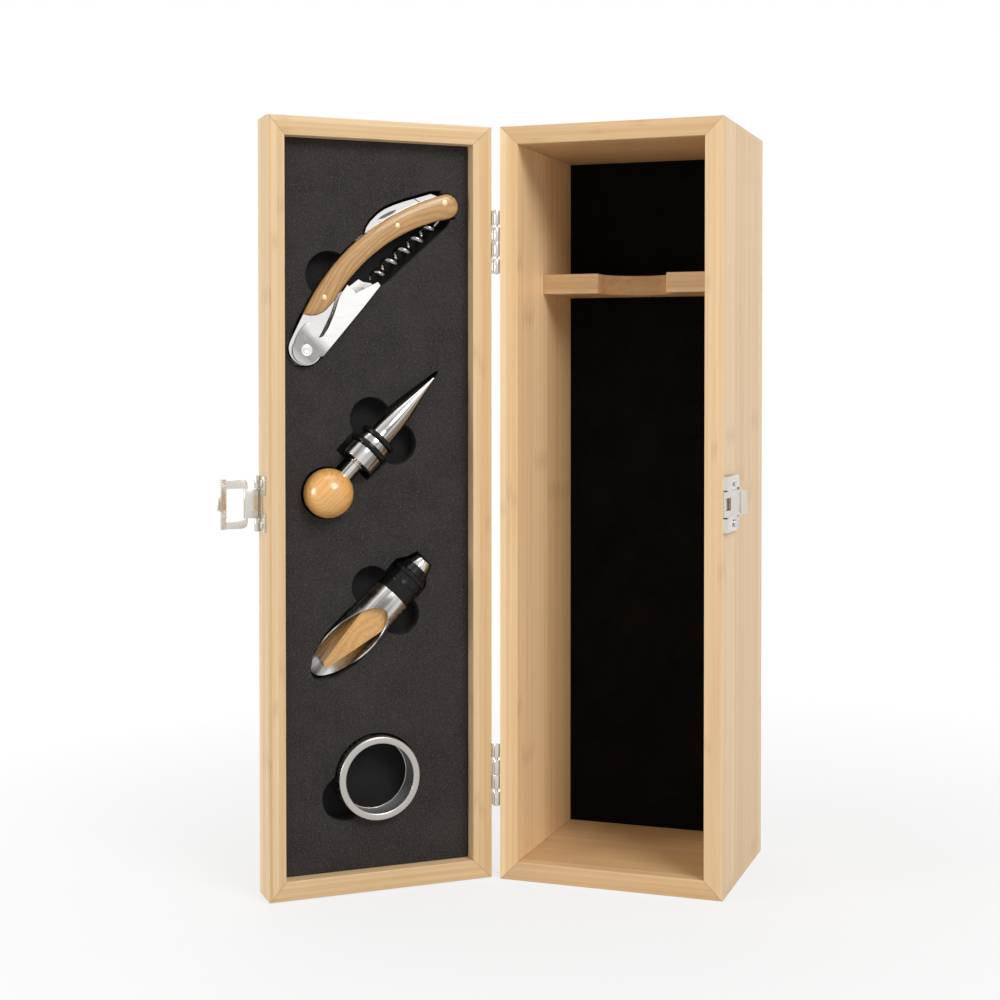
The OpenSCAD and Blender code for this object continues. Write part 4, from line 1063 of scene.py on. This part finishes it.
class OBJECT_OT_bottle_box_pourer(bpy.types.Operator):
    """Makes the pourer: spout, wooden insert, rubber sleeve and nose"""

    bl_idname = "object.bottle_box_pourer"
    bl_label = "Pourer"

    def execute(self, context):
        spout = lathe([(21.8, 8.9), (32.0, 8.9), (36.0, 9.1), (44.0, 9.55), (48.0, 9.7), (75.0, 9.7)], 128)
        cut_from, cut_to = (29.4, 9.2), (72.8, -10.0)
        slant = math.atan2(cut_from[1] - cut_to[1], cut_to[0] - cut_from[0])
        bmesh.ops.bisect_plane(spout, geom=spout.verts[:] + spout.edges[:] + spout.faces[:], dist=1e-5,
                               plane_co=(cut_from[0], 0, cut_from[1]),
                               plane_no=(math.sin(slant), 0, math.cos(slant)), clear_outer=True)
        bmesh.ops.solidify(spout, geom=spout.faces[:], thickness=0.6)
        bmesh.ops.recalc_face_normals(spout, faces=spout.faces)
        ease(spout, 0.12, 2, 50)
        made = piece("pourer_steel_spout", moved(spout, POURER), "pourer", "polished_steel",
                     reflection_streaked_steel("brushed spout steel", POURER, 2.4), "pourer_spout")
        sharpened(made, 40)
        insert = merged_copy("pourer_insert")
        ease(insert, 0.5 * MM, 3, 40)
        piece("pourer_wood_insert", insert, "pourer", "ball_wood", insert_wood(), "pourer_insert")
        ribs = [(8.6, 7.5), (9.3, 9.1), (10.9, 9.1), (11.3, 8.2), (15.0, 8.45), (15.4, 8.9), (16.2, 8.9),
                (16.6, 8.55)]
        tail = [(21.7, 9.1), (21.7, 8.55), (28.5, 8.55), (28.5, 5.5)]
        sleeve = turned([(4.5, 5.5), (4.5, 6.3)] + ribs + tail, 0.18, closed=True)
        piece("pourer_rubber_sleeve", moved(sleeve, POURER), "pourer", "rubber", rubber(), "pourer_sleeve")
        nose = turned([(0.0, 3.4), (0.0, 4.2), (0.6, 4.5), (4.2, 5.4), (29.0, 5.4), (29.0, 3.4)], 0.2, 3, 64,
                      True)
        piece("pourer_steel_nose", moved(nose, POURER), "pourer", "polished_steel",
              reflection_streaked_steel("pourer steel", POURER), "pourer_nose")
        return {"FINISHED"}


class OBJECT_OT_bottle_box_drip_ring(bpy.types.Operator):
    """Makes the drip ring with its felt lining"""

    bl_idname = "object.bottle_box_drip_ring"
    bl_label = "Drip Ring"

    def execute(self, context):
        ring = turned([(0.3, 16.2), (0.0, 16.6), (0.0, 19.0), (0.5, 19.5), (13.0, 19.5), (13.5, 19.0),
                       (13.5, 16.6), (13.2, 16.2), (12.3, 16.2), (12.3, 18.3), (1.2, 18.3), (1.2, 16.2)],
                      0.15, 2, 128, True)
        made = piece("drip_ring_shell", moved(ring, DRIP_RING), "drip_ring", "satin_steel",
                     ring_steel(), "drip_ring")
        sharpened(made, 50)
        lining = turned([(1.2, 16.5), (1.2, 18.3), (12.3, 18.3), (12.3, 16.5)], 0.3, 3, 128, True)
        piece("drip_ring_felt", moved(lining, DRIP_RING), "drip_ring", "felt", felt(), "ring_felt")
        return {"FINISHED"}


class VIEW3D_PT_bottle_box(bpy.types.Panel):
    """Lists the pieces of the bottle box and their settings"""

    bl_label = "Bottle Box"
    bl_idname = "VIEW3D_PT_bottle_box"
    bl_space_type = "VIEW_3D"
    bl_region_type = "UI"
    bl_category = "Bottle Box"

    def draw(self, context):
        kit = context.scene.bottle_box
        for label, group in (("Bamboo", kit.wood), ("Foam", kit.foam), ("Metal", kit.metal),
                             ("Lamps", kit.light)):
            box = self.layout.box()
            box.label(text=label)
            for name in group.__annotations__:
                box.prop(group, name)
        column = self.layout.column(align=True)
        for step in STEPS:
            column.operator(step.bl_idname)


STEPS = (
    SCENE_OT_bottle_box_stage,
    OBJECT_OT_bottle_box_carcass,
    OBJECT_OT_bottle_box_door,
    OBJECT_OT_bottle_box_tray,
    OBJECT_OT_bottle_box_hinges,
    OBJECT_OT_bottle_box_latch,
    OBJECT_OT_bottle_box_corkscrew,
    OBJECT_OT_bottle_box_stopper,
    OBJECT_OT_bottle_box_pourer,
    OBJECT_OT_bottle_box_drip_ring,
)
CLASSES = (WoodFinish, FoamFinish, MetalFinish, StageLight, BottleBox) + STEPS + (VIEW3D_PT_bottle_box,)


def register():
    for cls in CLASSES:
        bpy.utils.register_class(cls)
    bpy.types.Scene.bottle_box = bpy.props.PointerProperty(type=BottleBox)


def unregister():
    del bpy.types.Scene.bottle_box
    for cls in reversed(CLASSES):
        bpy.utils.unregister_class(cls)


def main():
    register()
    bpy.ops.scene.bottle_box_stage()
    bpy.ops.object.bottle_box_carcass()
    bpy.ops.object.bottle_box_door()
    bpy.ops.object.bottle_box_tray()
    bpy.ops.object.bottle_box_hinges()
    bpy.ops.object.bottle_box_latch()
    bpy.ops.object.bottle_box_corkscrew()
    bpy.ops.object.bottle_box_stopper()
    bpy.ops.object.bottle_box_pourer()
    bpy.ops.object.bottle_box_drip_ring()


if __name__ == "__main__":
    main()
